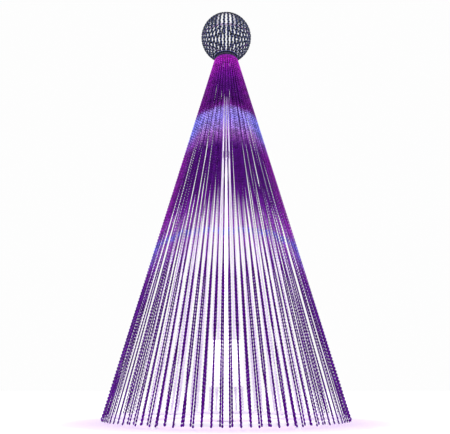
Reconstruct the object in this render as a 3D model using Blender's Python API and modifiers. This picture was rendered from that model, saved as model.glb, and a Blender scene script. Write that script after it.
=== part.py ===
# A free-standing LED Christmas tree: a cone of LED strings in curtain panels, hung from a carrier
# on a central mast and hooked under a ring on the floor, with a ribbed LED ball that turns on top.
# Lengths are in metres. The origin is on the floor under the mast, +Z is up and the front is -Y.

import math

import bmesh
import bpy
from mathutils import Matrix, Vector

# Strings and their cone
STRING_RISE = 2.792  # from the foot of the strings to their top
TREE_FOOT_RADIUS = 0.850  # to the outer face of the strings
TREE_TOP_RADIUS = 0.0952
STRING_WIDTH = 0.026  # tape and beads of a pair side by side
STRING_HEAD_WIDTH = 0.009  # where a string is gathered against the header
STRING_GATHER_DROP = 2.700  # from a string's top to where it has its full width
STRING_DEPTH = 0.012  # tape and bead together
STRING_TAPE_THICKNESS = 0.0042
STRING_CROWN_SHARE = 0.62  # how much of the width the flat crown of the beads takes
PANEL_COUNT = 12
STRINGS_PER_PANEL = 8

# Header that hooks a panel over the carrier
HEADER_WALL = 0.0047
HEADER_HEIGHT = 0.080
HEADER_LIP = 0.015
HEADER_GAP = 0.0004  # from the wall to the strings on either side of it
INNER_STRING_DROP = 0.045  # every second string starts this far under the first ones
STUD_WIDTH = 0.005
STUD_HEIGHT = 0.015
PANEL_GAP_DEGREES = 0.7
HEADER_STEPS = 4

# Tail rail that hooks a panel under the base ring
TAIL_WALL = 0.0025
TAIL_RISE = 0.016
TAIL_LIP = 0.016
TAIL_BITE = 0.001  # how deep the strings are set into the rail
TAIL_END_DEGREES = 1.3  # from the edge of the panel to the end of its rail
TAIL_STEPS = 6

# Clearances
SEAT_GAP = 0.0003
ARC_GAP = 0.0007  # between long arcs, whose facets differ
RUNNING_GAP = 0.0005
OVERRUN = 0.005  # how far a cutter runs past what it cuts
MERGE = 0.00005

# Base
SPOKE_COUNT = 6
RING_TUBE_RADIUS = 0.011
RING_TUBE_WALL = 0.002
RING_GROUND_GAP = 0.0215
RING_STEP_DEGREES = 5.0
SPOKE_RADIUS = 0.011
SPOKE_WALL = 0.002
TEE_WALL = 0.0035
TEE_LENGTH = 0.028
TEE_SOCKET_DEPTH = 0.034
TEE_FOOT_RADIUS = 0.022
TEE_STOP = 0.003  # between the end of a spoke and the ring
HUB_RADIUS = 0.070
HUB_FLOOR = 0.008
HUB_COVER = 0.005
HUB_SPOKE_DEPTH = 0.034
HUB_SOCKET_WALL = 0.007
HUB_SOCKET_HEIGHT = 0.150
HUB_SHOULDER = 0.010
PAD_RADIUS = 0.064

# Mast
MAST_RADIUS = 0.019
MAST_WALL = 0.0015
MAST_SECTIONS = 3
MAST_OVERLAP = 0.150
MAST_FLOOR_GAP = 0.0065  # from the hub's underside to the foot of the mast
MAST_STEPS = 20
STOP_RING_WIDTH = 0.007
STOP_RING_HEIGHT = 0.006
COLLAR_WALL = 0.008
COLLAR_HEIGHT = 0.056
COLLAR_STEP = 0.0006
COLLAR_BOSS_RADIUS = 0.009
COLLAR_BOSS_LENGTH = 0.014
COLLAR_SCREW_HEIGHT = 0.014
KNOB_SHANK_RADIUS = 0.004
KNOB_GRIP_RADIUS = 0.016
KNOB_GRIP_DEPTH = 0.012
KNOB_LOBES = 6
KNOB_LOBE_STEPS = 4
KNOB_LOBE_SHARE = 0.12
KNOB_STAND_OFF = 0.002

# String carrier at the mast's head
CARRIER_THICKNESS = 0.008
CARRIER_HUB_WALL = 0.008
CARRIER_HUB_DEPTH = 0.045
CARRIER_HOLE_RADIUS = 0.011
CARRIER_STEPS = 30
CARRIER_HOLES = 6
CARRIER_HOLE_SHIFT_SHARE = 0.56  # of the angle between two holes, from the front to the first
BALL_SEAT_LIFT = 0.004

# Ball
BALL_RADIUS = 0.2066
BALL_SECTORS = 4
RIBS_PER_SECTOR = 9
RIB_DEPTH = 0.0066
RIB_ARC_DEGREES = 5.4
RIB_END_LATITUDE = 65.0
RIB_BAND_LATITUDE = 4.0
RIB_ROWS = 8
BALL_EDGE_LATITUDE = 0.2  # the gap between the ribs and the bowl or the crown
BOWL_END_LATITUDE = 78.0
CROWN_END_LATITUDE = 70.0
FLANGE_LATITUDE = 61.5
FLANGE_THICKNESS = 0.0035
BOWL_STEPS = 24
BALL_SOCKET_HEIGHT = 0.060
BALL_SOCKET_WALL = 0.006
HOOP_TUBE_RADIUS = 0.0025
HOOP_STEPS = 36
HOOP_TUBE_SIDES = 6
MAST_HEAD_DROP = 0.004  # from the rim of the ball's socket to the mast's end
SOCKET_FLOOR = 0.010

# Control case behind the mast
CASE_WIDTH = 0.240
CASE_DEPTH = 0.120
CASE_HEIGHT = 0.320
CASE_WALL = 0.003
CASE_CORNER = 0.010
CASE_CORNER_STEPS = 3
CASE_HUB_GAP = 0.035
DOOR_THICKNESS = 0.010
DOOR_GAP = 0.0003
BRACKET_WIDTH = 0.060
BRACKET_HEIGHT = 0.060
BRACKET_RISE = 0.065
BRACKET_WALL = 0.011
BRACKET_CORNER = 0.006

# Door hinge
KNUCKLE_RADIUS = 0.0055
KNUCKLE_LENGTH = 0.030
KNUCKLE_GAP = 0.0005
KNUCKLE_OFFSET = 0.0065
WEB_THICKNESS = 0.0042
WEB_INSET = 0.0008
WEB_BITE = 0.001
PIN_RADIUS = 0.0018
PIN_RUNNING_GAP = 0.0004
PIN_HEAD_RADIUS = 0.0032
PIN_HEAD_HEIGHT = 0.0015
PIN_TAIL = 0.0015

# Door latch and its keeper
LATCH_INSET = 0.025
LATCH_SHAFT_RADIUS = 0.006
LATCH_HANDLE_LENGTH = 0.036
LATCH_HANDLE_WIDTH = 0.010
LATCH_HANDLE_DEPTH = 0.008
LATCH_TONGUE_REACH = 0.016
LATCH_TONGUE_WIDTH = 0.010
LATCH_TONGUE_THICKNESS = 0.0032
LATCH_TONGUE_DEPTH = 0.0146  # from the door's inner face to the tongue's far side
KEEPER_REACH = 0.012
KEEPER_THICKNESS = 0.004
KEEPER_HEIGHT = 0.030
KEEPER_GAP = 0.0015

# Inlet, switch and button on the side of the case, by their height over its underside
FLANGE_CORNER = 0.003
INLET_HEIGHT = 0.034
INLET_BODY = (0.022, 0.0205, 0.0275)
INLET_FLANGE = (0.002, 0.030, 0.048)
INLET_CAVITY = (0.016, 0.0165, 0.0235)
INLET_BLADE = (0.010, 0.002, 0.004)
INLET_BLADE_SPACING = 0.0070
INLET_BLADE_STEP = 0.0030
SWITCH_HEIGHT = 0.080
SWITCH_BODY = (0.018, 0.0160, 0.0262)
SWITCH_FLANGE = (0.0016, 0.0200, 0.0300)
SWITCH_CAVITY = (0.013, 0.0120, 0.0222)
ROCKER_THICKNESS = 0.0112
ROCKER_LENGTH = 0.0190
ROCKER_FOOT = 0.0030
ROCKER_FACE = 0.0052
ROCKER_DIP = 0.0018
ROCKER_TILT_DEGREES = 10.0
ROCKER_AXIS_DEPTH = 0.0048
ROCKER_PIN_RADIUS = 0.0014
ROCKER_PIN_LENGTH = 0.0012
BUTTON_HEIGHT = 0.112
BUTTON_RADIUS = 0.0045
BUTTON_STAND = 0.004
BUTTON_FLANGE_RADIUS = 0.007
BUTTON_FLANGE = 0.0015

# Power supply and controller inside the case, by their height over its underside
SUPPLY_DEPTH = 0.030
SUPPLY_RISE = 0.210
SUPPLY_INSET = 0.005  # from the middle of the case
SUPPLY_SIDE_GAP = 0.004
SUPPLY_HEIGHT = 0.016
SUPPLY_TERMINAL_MARGIN = 0.009
SUPPLY_TERMINAL_DEPTH = 0.012
SUPPLY_TERMINAL_HEIGHT = 0.016
SUPPLY_TERMINAL_RISE = 0.010
BOARD_THICKNESS = 0.0016
BOARD_RISE = 0.135
BOARD_INSET = 0.009  # from the middle of the case
BOARD_SIDE_GAP = 0.012
BOARD_HEIGHT = 0.130
BOARD_STANDOFF = 0.006
STANDOFF_RADIUS = 0.003
STANDOFF_INSET = 0.006
BLOCK_BITE = 0.0005
LEAD_BLOCK = (0.018, 0.020, 0.030)
HEAT_SINK = (0.034, 0.014, 0.040)
OUTPUT_BLOCK_DEPTH = 0.012
OUTPUT_BLOCK_HEIGHT = 0.010
OUTPUT_BLOCK_INSET = 0.012
HEAT_SINK_RISE = 0.045
HEAT_SINK_INSET = 0.026

# Lead from the controller up the mast
LEAD_RADIUS = 0.003
LEAD_ENTRY_HEIGHT = 0.235  # over the case's underside
LEAD_MAST_BEND = 0.0138
LEAD_CASE_BEND = 0.0115
LEAD_STRAIGHT = 0.003  # from the bend to the controller's block
LEAD_HOLE_GAP = 0.0006
LEAD_TOP_RISE = 0.006
LEAD_BEND_STEPS = 5

FULL_TURN = 2 * math.pi
FRONT = -math.pi / 2  # the direction of -Y, seen from +X
RING_TUBE_SIDES = 10
LEAD_SIDES = 8
TUBE_SIDES = 12
SMALL_SIDES = 16

# Sizes worked out from those above
slope = math.atan((TREE_FOOT_RADIUS - TREE_TOP_RADIUS) / STRING_RISE)
lean = 1 / math.cos(slope)  # a distance square to the strings, measured level
panel_arc = FULL_TURN / PANEL_COUNT
string_step = panel_arc / STRINGS_PER_PANEL
layer_step = STRING_DEPTH + HEADER_WALL + 2 * HEADER_GAP

ring_height = RING_GROUND_GAP + RING_TUBE_RADIUS
tail_lip_height = ring_height - RING_TUBE_RADIUS - ARC_GAP - TAIL_WALL / 2
string_foot = tail_lip_height - TAIL_WALL / 2
string_top = string_foot + STRING_RISE


def outer_line(height):
    """The radius of the middle of an outer string at this height."""
    to_face = (string_top - height) * math.tan(slope) + TREE_TOP_RADIUS
    return to_face - STRING_DEPTH / 2 * lean


header_foot = string_top - HEADER_HEIGHT
inner_span = outer_line(string_foot) - outer_line(header_foot) + layer_step * lean
inner_slope = inner_span / (header_foot - string_foot)


def inner_line(height):
    """The radius of the middle of an inner string, which meets the outer ones at the foot."""
    return outer_line(string_foot) - (height - string_foot) * inner_slope


def header_line(height):
    return outer_line(height) - layer_step / 2 * lean


def tail_line(height):
    return outer_line(height) - (STRING_DEPTH / 2 + TAIL_WALL / 2 - TAIL_BITE) * lean


ring_radius = tail_line(ring_height) - (RING_TUBE_RADIUS + ARC_GAP + TAIL_WALL / 2) * lean
ring_end_gap = SEAT_GAP + RING_TUBE_RADIUS * math.tan(math.radians(RING_STEP_DEGREES) / 2)
spoke_bore = SPOKE_RADIUS + SEAT_GAP
tee_radius = RING_TUBE_RADIUS + SEAT_GAP + TEE_WALL

hub_top = ring_height + SPOKE_RADIUS + HUB_COVER
hub_foot = ring_height - SPOKE_RADIUS - HUB_FLOOR
hub_socket_radius = MAST_RADIUS + SEAT_GAP + HUB_SOCKET_WALL
hub_socket_top = hub_top + HUB_SOCKET_HEIGHT
spoke_start = HUB_RADIUS - HUB_SPOKE_DEPTH
spoke_end = ring_radius - RING_TUBE_RADIUS - TEE_STOP

disc_top = string_top - HEADER_WALL - RUNNING_GAP
disc_foot = disc_top - CARRIER_THICKNESS
disc_radius = header_line(disc_top) - HEADER_WALL / 2 * lean - ARC_GAP
bearing_height = string_top + BALL_SEAT_LIFT
ball_foot = bearing_height + SEAT_GAP
ball_centre = ball_foot + BALL_RADIUS * math.sin(math.radians(BOWL_END_LATITUDE))
ball_socket_top = ball_foot + BALL_SOCKET_HEIGHT

mast_foot_height = hub_foot + MAST_FLOOR_GAP
mast_head = ball_socket_top - MAST_HEAD_DROP
section_length = (mast_head - mast_foot_height + (MAST_SECTIONS - 1) * MAST_OVERLAP) / MAST_SECTIONS
section_rise = section_length - MAST_OVERLAP
section_radii = [MAST_RADIUS - i * (MAST_WALL + SEAT_GAP) for i in range(MAST_SECTIONS)]
head_radius = section_radii[-1]

bracket_back = MAST_RADIUS + BRACKET_WALL
case_front = bracket_back + SEAT_GAP
case_back = case_front + CASE_DEPTH
case_foot = hub_socket_top + CASE_HUB_GAP
case_middle = case_foot + CASE_HEIGHT / 2
case_side = -CASE_WIDTH / 2
half_room = CASE_WIDTH / 2 - CASE_WALL
door_inner = case_back + DOOR_GAP
door_outer = door_inner + DOOR_THICKNESS
side_middle = (case_front + case_back) / 2  # of the fittings on the side of the case
hinge_x = CASE_WIDTH / 2 + KNUCKLE_OFFSET
hinge_y = (case_back + door_inner) / 2
knuckle_bore = PIN_RADIUS + PIN_RUNNING_GAP
latch_x = case_side + LATCH_INSET
lead_entry = case_foot + LEAD_ENTRY_HEIGHT
lead_end = -LEAD_CASE_BEND - LEAD_STRAIGHT


def material(name, colour, roughness, metallic=0.0):
    made = bpy.data.materials.new(name)
    made.use_nodes = True
    shader = made.node_tree.nodes["Principled BSDF"]
    shader.inputs["Base Color"].default_value = (*colour, 1.0)
    shader.inputs["Roughness"].default_value = roughness
    shader.inputs["Metallic"].default_value = metallic
    made.diffuse_color = (*colour, 1.0)
    return made


def clear_scene():
    for obj in list(bpy.data.objects):
        bpy.data.objects.remove(obj, do_unlink=True)


def collection(name):
    made = bpy.data.collections.new(name)
    bpy.context.scene.collection.children.link(made)
    return made


def add_object(name, data, finish=None):
    obj = bpy.data.objects.new(name, data)
    parts.objects.link(obj)
    if finish is not None:
        data.materials.clear()
        data.materials.append(finish)
    return obj


def as_helper(obj):
    """A cutter, or a shape that is joined to another: not a piece of its own."""
    for group in list(obj.users_collection):
        group.objects.unlink(obj)
    helpers.objects.link(obj)
    obj.hide_render = True
    obj.display_type = "WIRE"
    return obj


def axis_empty(name, place):
    empty = bpy.data.objects.new(name, None)
    parts.objects.link(empty)
    empty.location = place
    return empty


def ride(obj, empty):
    """Hangs an object on an empty and keeps it in its place."""
    obj.parent = empty
    obj.matrix_parent_inverse = Matrix.Translation(-empty.location)
    return obj


def smooth(mesh, degrees=35.0):
    mesh.shade_smooth()
    mesh.set_sharp_from_angle(angle=math.radians(degrees))


def mesh_of(obj):
    """The object's mesh with its modifiers applied, in world space. The object is removed."""
    bpy.context.view_layer.update()
    graph = bpy.context.evaluated_depsgraph_get()
    mesh = bpy.data.meshes.new_from_object(obj.evaluated_get(graph))
    mesh.transform(obj.matrix_world)
    bpy.data.objects.remove(obj, do_unlink=True)
    cage = bmesh.new()
    cage.from_mesh(mesh)
    bmesh.ops.remove_doubles(cage, verts=cage.verts, dist=MERGE)
    bmesh.ops.recalc_face_normals(cage, faces=cage.faces)
    cage.to_mesh(mesh)
    cage.free()
    return mesh


def turned(name, profile, finish, steps, arc=FULL_TURN):
    """A profile of (radius, height) points turned about Z. Its outer side runs from top to bottom."""
    whole = arc == FULL_TURN
    edges = [(i, i + 1) for i in range(len(profile) - 1)]
    if whole and profile[0][0] > 0 and profile[-1][0] > 0:
        edges.append((len(profile) - 1, 0))
    mesh = bpy.data.meshes.new(name)
    mesh.from_pydata([(radius, 0, height) for radius, height in profile], edges, [])
    obj = add_object(name, mesh, finish)
    screw = obj.modifiers.new("turn", "SCREW")
    screw.angle = arc
    screw.steps = steps
    screw.render_steps = steps
    screw.use_merge_vertices = whole
    screw.merge_threshold = MERGE
    screw.use_smooth_shade = False
    return obj


def arc_band(name, profile, wall, arc, steps, azimuth=0.0):
    """An open profile turned through an arc that is centred on an azimuth, with a wall to it."""
    obj = turned(name, profile, None, steps, arc)
    obj.rotation_euler.z = FRONT + azimuth - arc / 2
    shell = obj.modifiers.new("wall", "SOLIDIFY")
    shell.thickness = wall
    shell.offset = 0
    shell.use_even_offset = True
    return obj


def rod(name, radius, start, end, finish=None, sides=SMALL_SIDES):
    """A cylinder between two points."""
    start, end = Vector(start), Vector(end)
    span = end - start
    cage = bmesh.new()
    bmesh.ops.create_cone(
        cage, cap_ends=True, segments=sides, radius1=radius, radius2=radius, depth=span.length
    )
    mesh = bpy.data.meshes.new(name)
    cage.to_mesh(mesh)
    cage.free()
    obj = add_object(name, mesh, finish)
    obj.location = (start + end) / 2
    obj.rotation_euler = span.to_track_quat("Z", "Y").to_euler()
    return obj


def box(name, low, high, finish=None, corner=0.0, along=None, steps=CASE_CORNER_STEPS):
    """A box between two corners. The edges along one axis can be rounded."""
    low, high = Vector(low), Vector(high)
    size, middle = high - low, (low + high) / 2
    cage = bmesh.new()
    bmesh.ops.create_cube(cage, size=1)
    bmesh.ops.scale(cage, vec=size, verts=cage.verts)
    if corner:
        edges = [
            edge
            for edge in cage.edges
            if abs((edge.verts[1].co - edge.verts[0].co)[along]) > size[along] / 2
        ]
        bmesh.ops.bevel(cage, geom=edges, offset=corner, segments=steps, profile=0.5, affect="EDGES")
    mesh = bpy.data.meshes.new(name)
    cage.to_mesh(mesh)
    cage.free()
    obj = add_object(name, mesh, finish)
    obj.location = middle
    return obj


def centred_box(name, middle, size, finish=None):
    middle, half = Vector(middle), Vector(size) / 2
    return box(name, middle - half, middle + half, finish)


def outline_mesh(name, points, depth):
    """A closed outline in the XY plane, given a depth along Z."""
    curve = bpy.data.curves.new(name, "CURVE")
    curve.dimensions = "2D"
    curve.fill_mode = "BOTH"
    curve.extrude = depth / 2
    spline = curve.splines.new("POLY")
    spline.points.add(len(points) - 1)
    spline.use_cyclic_u = True
    for point, (x, y) in zip(spline.points, points):
        point.co = (x, y, 0, 1)
    return mesh_of(add_object(name, curve))


def wire(name, points, radius, finish, sides):
    curve = bpy.data.curves.new(name, "CURVE")
    curve.dimensions = "3D"
    curve.bevel_depth = radius
    curve.bevel_resolution = sides // 2 - 2
    curve.use_fill_caps = True
    spline = curve.splines.new("POLY")
    spline.points.add(len(points) - 1)
    for point, place in zip(spline.points, points):
        point.co = (*place, 1)
    return add_object(name, curve, finish)


def boolean(obj, other, operation):
    change = obj.modifiers.new(operation.lower(), "BOOLEAN")
    change.operation = operation
    change.solver = "EXACT"
    change.object = as_helper(other)
    return obj


def cut(obj, *cutters):
    for cutter in cutters:
        boolean(obj, cutter, "DIFFERENCE")
    return obj


def join(obj, *others):
    for other in others:
        boolean(obj, other, "UNION")
    return obj


def around(radius, height, azimuth):
    """A point at this azimuth, counted from the front."""
    return Vector((radius * math.sin(azimuth), -radius * math.cos(azimuth), height))


def string_mesh(length):
    """One straight string: a flat tape with the crown of its beads, drawn together at its head."""
    half, crown = STRING_WIDTH / 2, STRING_WIDTH / 2 * STRING_CROWN_SHARE
    back, front = -STRING_DEPTH / 2, STRING_DEPTH / 2
    shoulder = back + STRING_TAPE_THICKNESS
    right = [(half, back), (half, shoulder), (crown, front)]
    left = [(-x, y) for x, y in reversed(right)]
    mesh = outline_mesh("string", right + left, length)
    cage = bmesh.new()
    cage.from_mesh(mesh)
    shapes = [*cage.verts, *cage.edges, *cage.faces]
    gather = (0, 0, length / 2 - STRING_GATHER_DROP)
    bmesh.ops.bisect_plane(cage, geom=shapes, plane_co=gather, plane_no=(0, 0, 1))
    head = [vert for vert in cage.verts if vert.co.z > length / 2 - MERGE]
    bmesh.ops.scale(cage, vec=(STRING_HEAD_WIDTH / STRING_WIDTH, 1, 1), verts=head)
    cage.to_mesh(mesh)
    cage.free()
    return mesh


def add_string(name, line, top, azimuth):
    """A string along a line from its top height down to the foot of the strings."""
    head, foot = around(line(top), top, azimuth), around(line(string_foot), string_foot, azimuth)
    up = (head - foot).normalized()
    side = Vector((-math.cos(azimuth), -math.sin(azimuth), 0))
    out = up.cross(side)
    obj = add_object(name, string_mesh((head - foot).length))
    turn = Matrix((side, out, up)).transposed().to_4x4()
    obj.matrix_world = Matrix.Translation((head + foot) / 2) @ turn
    return obj


def add_stud(name, line, height, azimuth):
    """The block that ties a string to the header's wall."""
    far, near = line(height), header_line(height)
    cage = bmesh.new()
    bmesh.ops.create_cube(cage, size=1)
    bmesh.ops.scale(cage, vec=(STUD_WIDTH, abs(far - near), STUD_HEIGHT), verts=cage.verts)
    mesh = bpy.data.meshes.new(name)
    cage.to_mesh(mesh)
    cage.free()
    obj = add_object(name, mesh)
    obj.location = around((far + near) / 2, height, azimuth)
    obj.rotation_euler.z = azimuth
    return obj


def panel_mesh():
    """One panel at the front: header, strings in two layers and tail rail, all in one body."""
    lip_height = string_top - HEADER_WALL / 2
    header_profile = [
        (header_line(lip_height) - HEADER_LIP, lip_height),
        (header_line(lip_height), lip_height),
        (header_line(header_foot), header_foot),
    ]
    header_arc = panel_arc - math.radians(PANEL_GAP_DEGREES)
    panel = arc_band("header", header_profile, HEADER_WALL, header_arc, HEADER_STEPS)
    tail_top = tail_lip_height + TAIL_RISE
    tail_profile = [
        (tail_line(tail_top), tail_top),
        (tail_line(tail_lip_height), tail_lip_height),
        (tail_line(tail_lip_height) - TAIL_LIP, tail_lip_height),
    ]
    tail_arc = panel_arc - 2 * math.radians(TAIL_END_DEGREES)
    shapes = [arc_band("tail", tail_profile, TAIL_WALL, tail_arc, TAIL_STEPS)]
    for i in range(STRINGS_PER_PANEL):
        azimuth = (i + 0.5) * string_step - panel_arc / 2
        outer = i % 2 == 0
        line = outer_line if outer else inner_line
        top = string_top if outer else string_top - INNER_STRING_DROP
        stud = (top + header_foot) / 2
        shapes.append(add_string(f"string_{i}", line, top, azimuth))
        shapes.append(add_stud(f"stud_{i}", line, stud, azimuth))
    join(panel, *shapes)
    mesh = mesh_of(panel)
    for shape in shapes:
        bpy.data.objects.remove(shape, do_unlink=True)
    return mesh


def build_panels():
    mesh = panel_mesh()
    for i in range(PANEL_COUNT):
        panel = add_object(f"led_panel_{i + 1:02d}", mesh, bead_violet)
        panel.rotation_euler.z = (i + 0.5) * panel_arc


def ring_points(half_arc):
    steps = round(math.degrees(2 * half_arc) / RING_STEP_DEGREES)
    return [around(ring_radius, ring_height, half_arc * (2 * i / steps - 1)) for i in range(steps + 1)]


def build_ring():
    """Six arcs of tube, whose ends meet inside the tees."""
    arc = FULL_TURN / SPOKE_COUNT
    half = arc / 2 - ring_end_gap / ring_radius
    tube = wire("ring_tube", ring_points(half), RING_TUBE_RADIUS, None, RING_TUBE_SIDES)
    tube = add_object("ring_tube", mesh_of(tube))
    beyond = half + math.radians(RING_STEP_DEGREES)
    bore_radius = RING_TUBE_RADIUS - RING_TUBE_WALL
    bore = wire("ring_tube_bore", ring_points(beyond), bore_radius, None, RING_TUBE_SIDES)
    bore = add_object("ring_tube_bore", mesh_of(bore))
    mesh = mesh_of(cut(tube, bore))
    bpy.data.objects.remove(bore, do_unlink=True)
    smooth(mesh)
    for i in range(SPOKE_COUNT):
        segment = add_object(f"ring_segment_{i + 1}", mesh, white_powder)
        segment.rotation_euler.z = i * arc


def tee_mesh():
    """A tee at the front: a sleeve for the ring, a socket for the spoke and a foot under both."""
    middle = around(ring_radius, ring_height, 0)
    side, inward = Vector((TEE_LENGTH / 2, 0, 0)), Vector((0, tee_radius + TEE_SOCKET_DEPTH, 0))
    tee = rod("tee", tee_radius, middle - side, middle + side, sides=TUBE_SIDES)
    socket = rod("tee_socket", tee_radius, middle, middle + inward, sides=TUBE_SIDES)
    neck = tee_radius * math.cos(math.pi / 4)
    foot_profile = [(0, ring_height), (neck, ring_height), (TEE_FOOT_RADIUS, 0), (0, 0)]
    foot = turned("tee_foot", foot_profile, None, TUBE_SIDES)
    foot.location = (middle.x, middle.y, 0)
    join(tee, socket, foot)
    bore_arc = 2 * math.radians(RING_STEP_DEGREES)
    bore = wire("bore", ring_points(bore_arc), RING_TUBE_RADIUS + SEAT_GAP, None, RING_TUBE_SIDES)
    bore = add_object("ring_bore", mesh_of(bore))
    overrun = Vector((0, OVERRUN, 0))
    spoke_hole = rod("spoke_bore", spoke_bore, middle, middle + inward + overrun, sides=TUBE_SIDES)
    cut(tee, bore, spoke_hole)
    mesh = mesh_of(tee)
    for helper in (socket, foot, bore, spoke_hole):
        bpy.data.objects.remove(helper, do_unlink=True)
    smooth(mesh)
    return mesh


def tube_profile(outer, inner, low, high):
    return [(outer, high), (outer, low), (inner, low), (inner, high)]


def spoke_mesh():
    profile = tube_profile(SPOKE_RADIUS, SPOKE_RADIUS - SPOKE_WALL, spoke_start, spoke_end)
    spoke = turned("spoke", profile, None, TUBE_SIDES)
    spoke.rotation_euler.x = math.pi / 2
    spoke.location.z = ring_height
    mesh = mesh_of(spoke)
    smooth(mesh)
    return mesh


def build_base():
    tee, spoke = tee_mesh(), spoke_mesh()
    arc = FULL_TURN / SPOKE_COUNT
    for i in range(SPOKE_COUNT):
        azimuth = (i + 0.5) * arc
        add_object(f"ring_tee_{i + 1}", tee, white_plastic).rotation_euler.z = azimuth
        add_object(f"spoke_{i + 1}", spoke, white_powder).rotation_euler.z = azimuth
    bore = MAST_RADIUS + SEAT_GAP
    floor = mast_foot_height - SEAT_GAP
    profile = [
        (0, floor),
        (bore, floor),
        (bore, hub_socket_top),
        (hub_socket_radius, hub_socket_top),
        (hub_socket_radius, hub_top + HUB_SHOULDER),
        (hub_socket_radius + HUB_SHOULDER, hub_top),
        (HUB_RADIUS, hub_top),
        (HUB_RADIUS, hub_foot),
        (0, hub_foot),
    ]
    hub = turned("base_hub", profile, white_powder, MAST_STEPS)
    for i in range(SPOKE_COUNT):
        azimuth = (i + 0.5) * arc
        start = around(spoke_start - SEAT_GAP, ring_height, azimuth)
        end = around(HUB_RADIUS + OVERRUN, ring_height, azimuth)
        cut(hub, rod(f"hub_bore_{i + 1}", spoke_bore, start, end, sides=TUBE_SIDES))
    pad_top = hub_foot - SEAT_GAP
    pad = [(0, pad_top), (PAD_RADIUS, pad_top), (PAD_RADIUS, 0), (0, 0)]
    turned("hub_pad", pad, white_rubber, MAST_STEPS)


def knob(name, tip, height):
    """A clamp screw with a lobed grip, on an axis that points to the back."""
    start = (0, tip, height)
    grip_start = tip_to_grip(tip)
    end = (0, grip_start + KNOB_GRIP_DEPTH / 2, height)
    body = rod(name, KNOB_SHANK_RADIUS, start, end, white_plastic)
    points = []
    for i in range(KNOB_LOBES * KNOB_LOBE_STEPS):
        angle = i * FULL_TURN / (KNOB_LOBES * KNOB_LOBE_STEPS)
        radius = KNOB_GRIP_RADIUS * (1 + KNOB_LOBE_SHARE * (math.cos(KNOB_LOBES * angle) - 1) / 2)
        points.append((radius * math.cos(angle), radius * math.sin(angle)))
    grip = add_object(name + "_grip", outline_mesh(name + "_grip", points, KNOB_GRIP_DEPTH))
    grip.rotation_euler.x = math.pi / 2
    grip.location = (0, grip_start + KNOB_GRIP_DEPTH / 2, height)
    return join(body, grip)


def tip_to_grip(tip):
    return tip + COLLAR_WALL + COLLAR_BOSS_LENGTH + KNOB_STAND_OFF


def build_mast():
    names = ["mast_lower", "mast_middle", "mast_upper"]
    hub_low = disc_foot - CARRIER_HUB_DEPTH
    stop_top = hub_low - SEAT_GAP
    for i, name in enumerate(names):
        outer, low = section_radii[i], mast_foot_height + i * section_rise
        inner, high = outer - MAST_WALL, low + section_length
        profile = tube_profile(outer, inner, low, high)
        if i == MAST_SECTIONS - 1:
            stop_radius = outer + STOP_RING_WIDTH
            stop = [
                (outer, stop_top),
                (stop_radius, stop_top),
                (stop_radius, stop_top - STOP_RING_HEIGHT),
                (outer, stop_top - STOP_RING_HEIGHT),
            ]
            profile[1:1] = stop
        section = turned(name, profile, white_powder, MAST_STEPS)
        if i == 0:
            start, end = (0, outer / 2, lead_entry), (0, outer + OVERRUN, lead_entry)
            cut(section, rod("lead_hole_mast", LEAD_RADIUS + LEAD_HOLE_GAP, start, end))
        if i < MAST_SECTIONS - 1:
            build_collar(f"mast_collar_{i + 1}", outer, section_radii[i + 1], high)
            pivot = axis_empty(f"knob_axis_{i + 1}", (0, 0, high + COLLAR_SCREW_HEIGHT))
            tip = section_radii[i + 1] + 2 * SEAT_GAP
            ride(knob(f"collar_knob_{i + 1}", tip, high + COLLAR_SCREW_HEIGHT), pivot)


def build_collar(name, lower, upper, joint):
    outer = lower + SEAT_GAP + COLLAR_WALL
    low, high = joint - COLLAR_HEIGHT / 2, joint + COLLAR_HEIGHT / 2
    step = joint + COLLAR_STEP
    profile = [
        (outer, high),
        (outer, low),
        (lower + SEAT_GAP, low),
        (lower + SEAT_GAP, step),
        (upper + SEAT_GAP, step),
        (upper + SEAT_GAP, high),
    ]
    collar = turned(name, profile, white_plastic, MAST_STEPS)
    height = joint + COLLAR_SCREW_HEIGHT
    boss_end = upper + SEAT_GAP + COLLAR_WALL + COLLAR_BOSS_LENGTH
    boss_start = upper + COLLAR_WALL / 2
    boss = rod(name + "_boss", COLLAR_BOSS_RADIUS, (0, boss_start, height), (0, boss_end, height))
    hole_end = (0, boss_end + OVERRUN, height)
    hole = rod(name + "_hole", KNOB_SHANK_RADIUS + RUNNING_GAP, (0, upper / 2, height), hole_end)
    join(collar, boss)
    cut(collar, hole)


def build_carrier():
    bore = head_radius + SEAT_GAP
    outer = bore + CARRIER_HUB_WALL
    low = disc_foot - CARRIER_HUB_DEPTH
    profile = [
        (outer, bearing_height),
        (outer, disc_top),
        (disc_radius, disc_top),
        (disc_radius, disc_foot),
        (outer, disc_foot),
        (outer, low),
        (bore, low),
        (bore, bearing_height),
    ]
    carrier = turned("string_carrier", profile, white_powder, CARRIER_STEPS)
    for i in range(CARRIER_HOLES):
        azimuth = (i + CARRIER_HOLE_SHIFT_SHARE) * FULL_TURN / CARRIER_HOLES
        middle = around((disc_radius + outer) / 2, disc_top, azimuth)
        reach = Vector((0, 0, CARRIER_THICKNESS + OVERRUN))
        low, high = middle - reach, middle + reach
        cut(carrier, rod(f"carrier_hole_{i + 1}", CARRIER_HOLE_RADIUS, low, high, sides=TUBE_SIDES))


def on_ball(radius, latitude):
    angle = math.radians(latitude)
    return (radius * math.cos(angle), ball_centre + radius * math.sin(angle))


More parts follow.
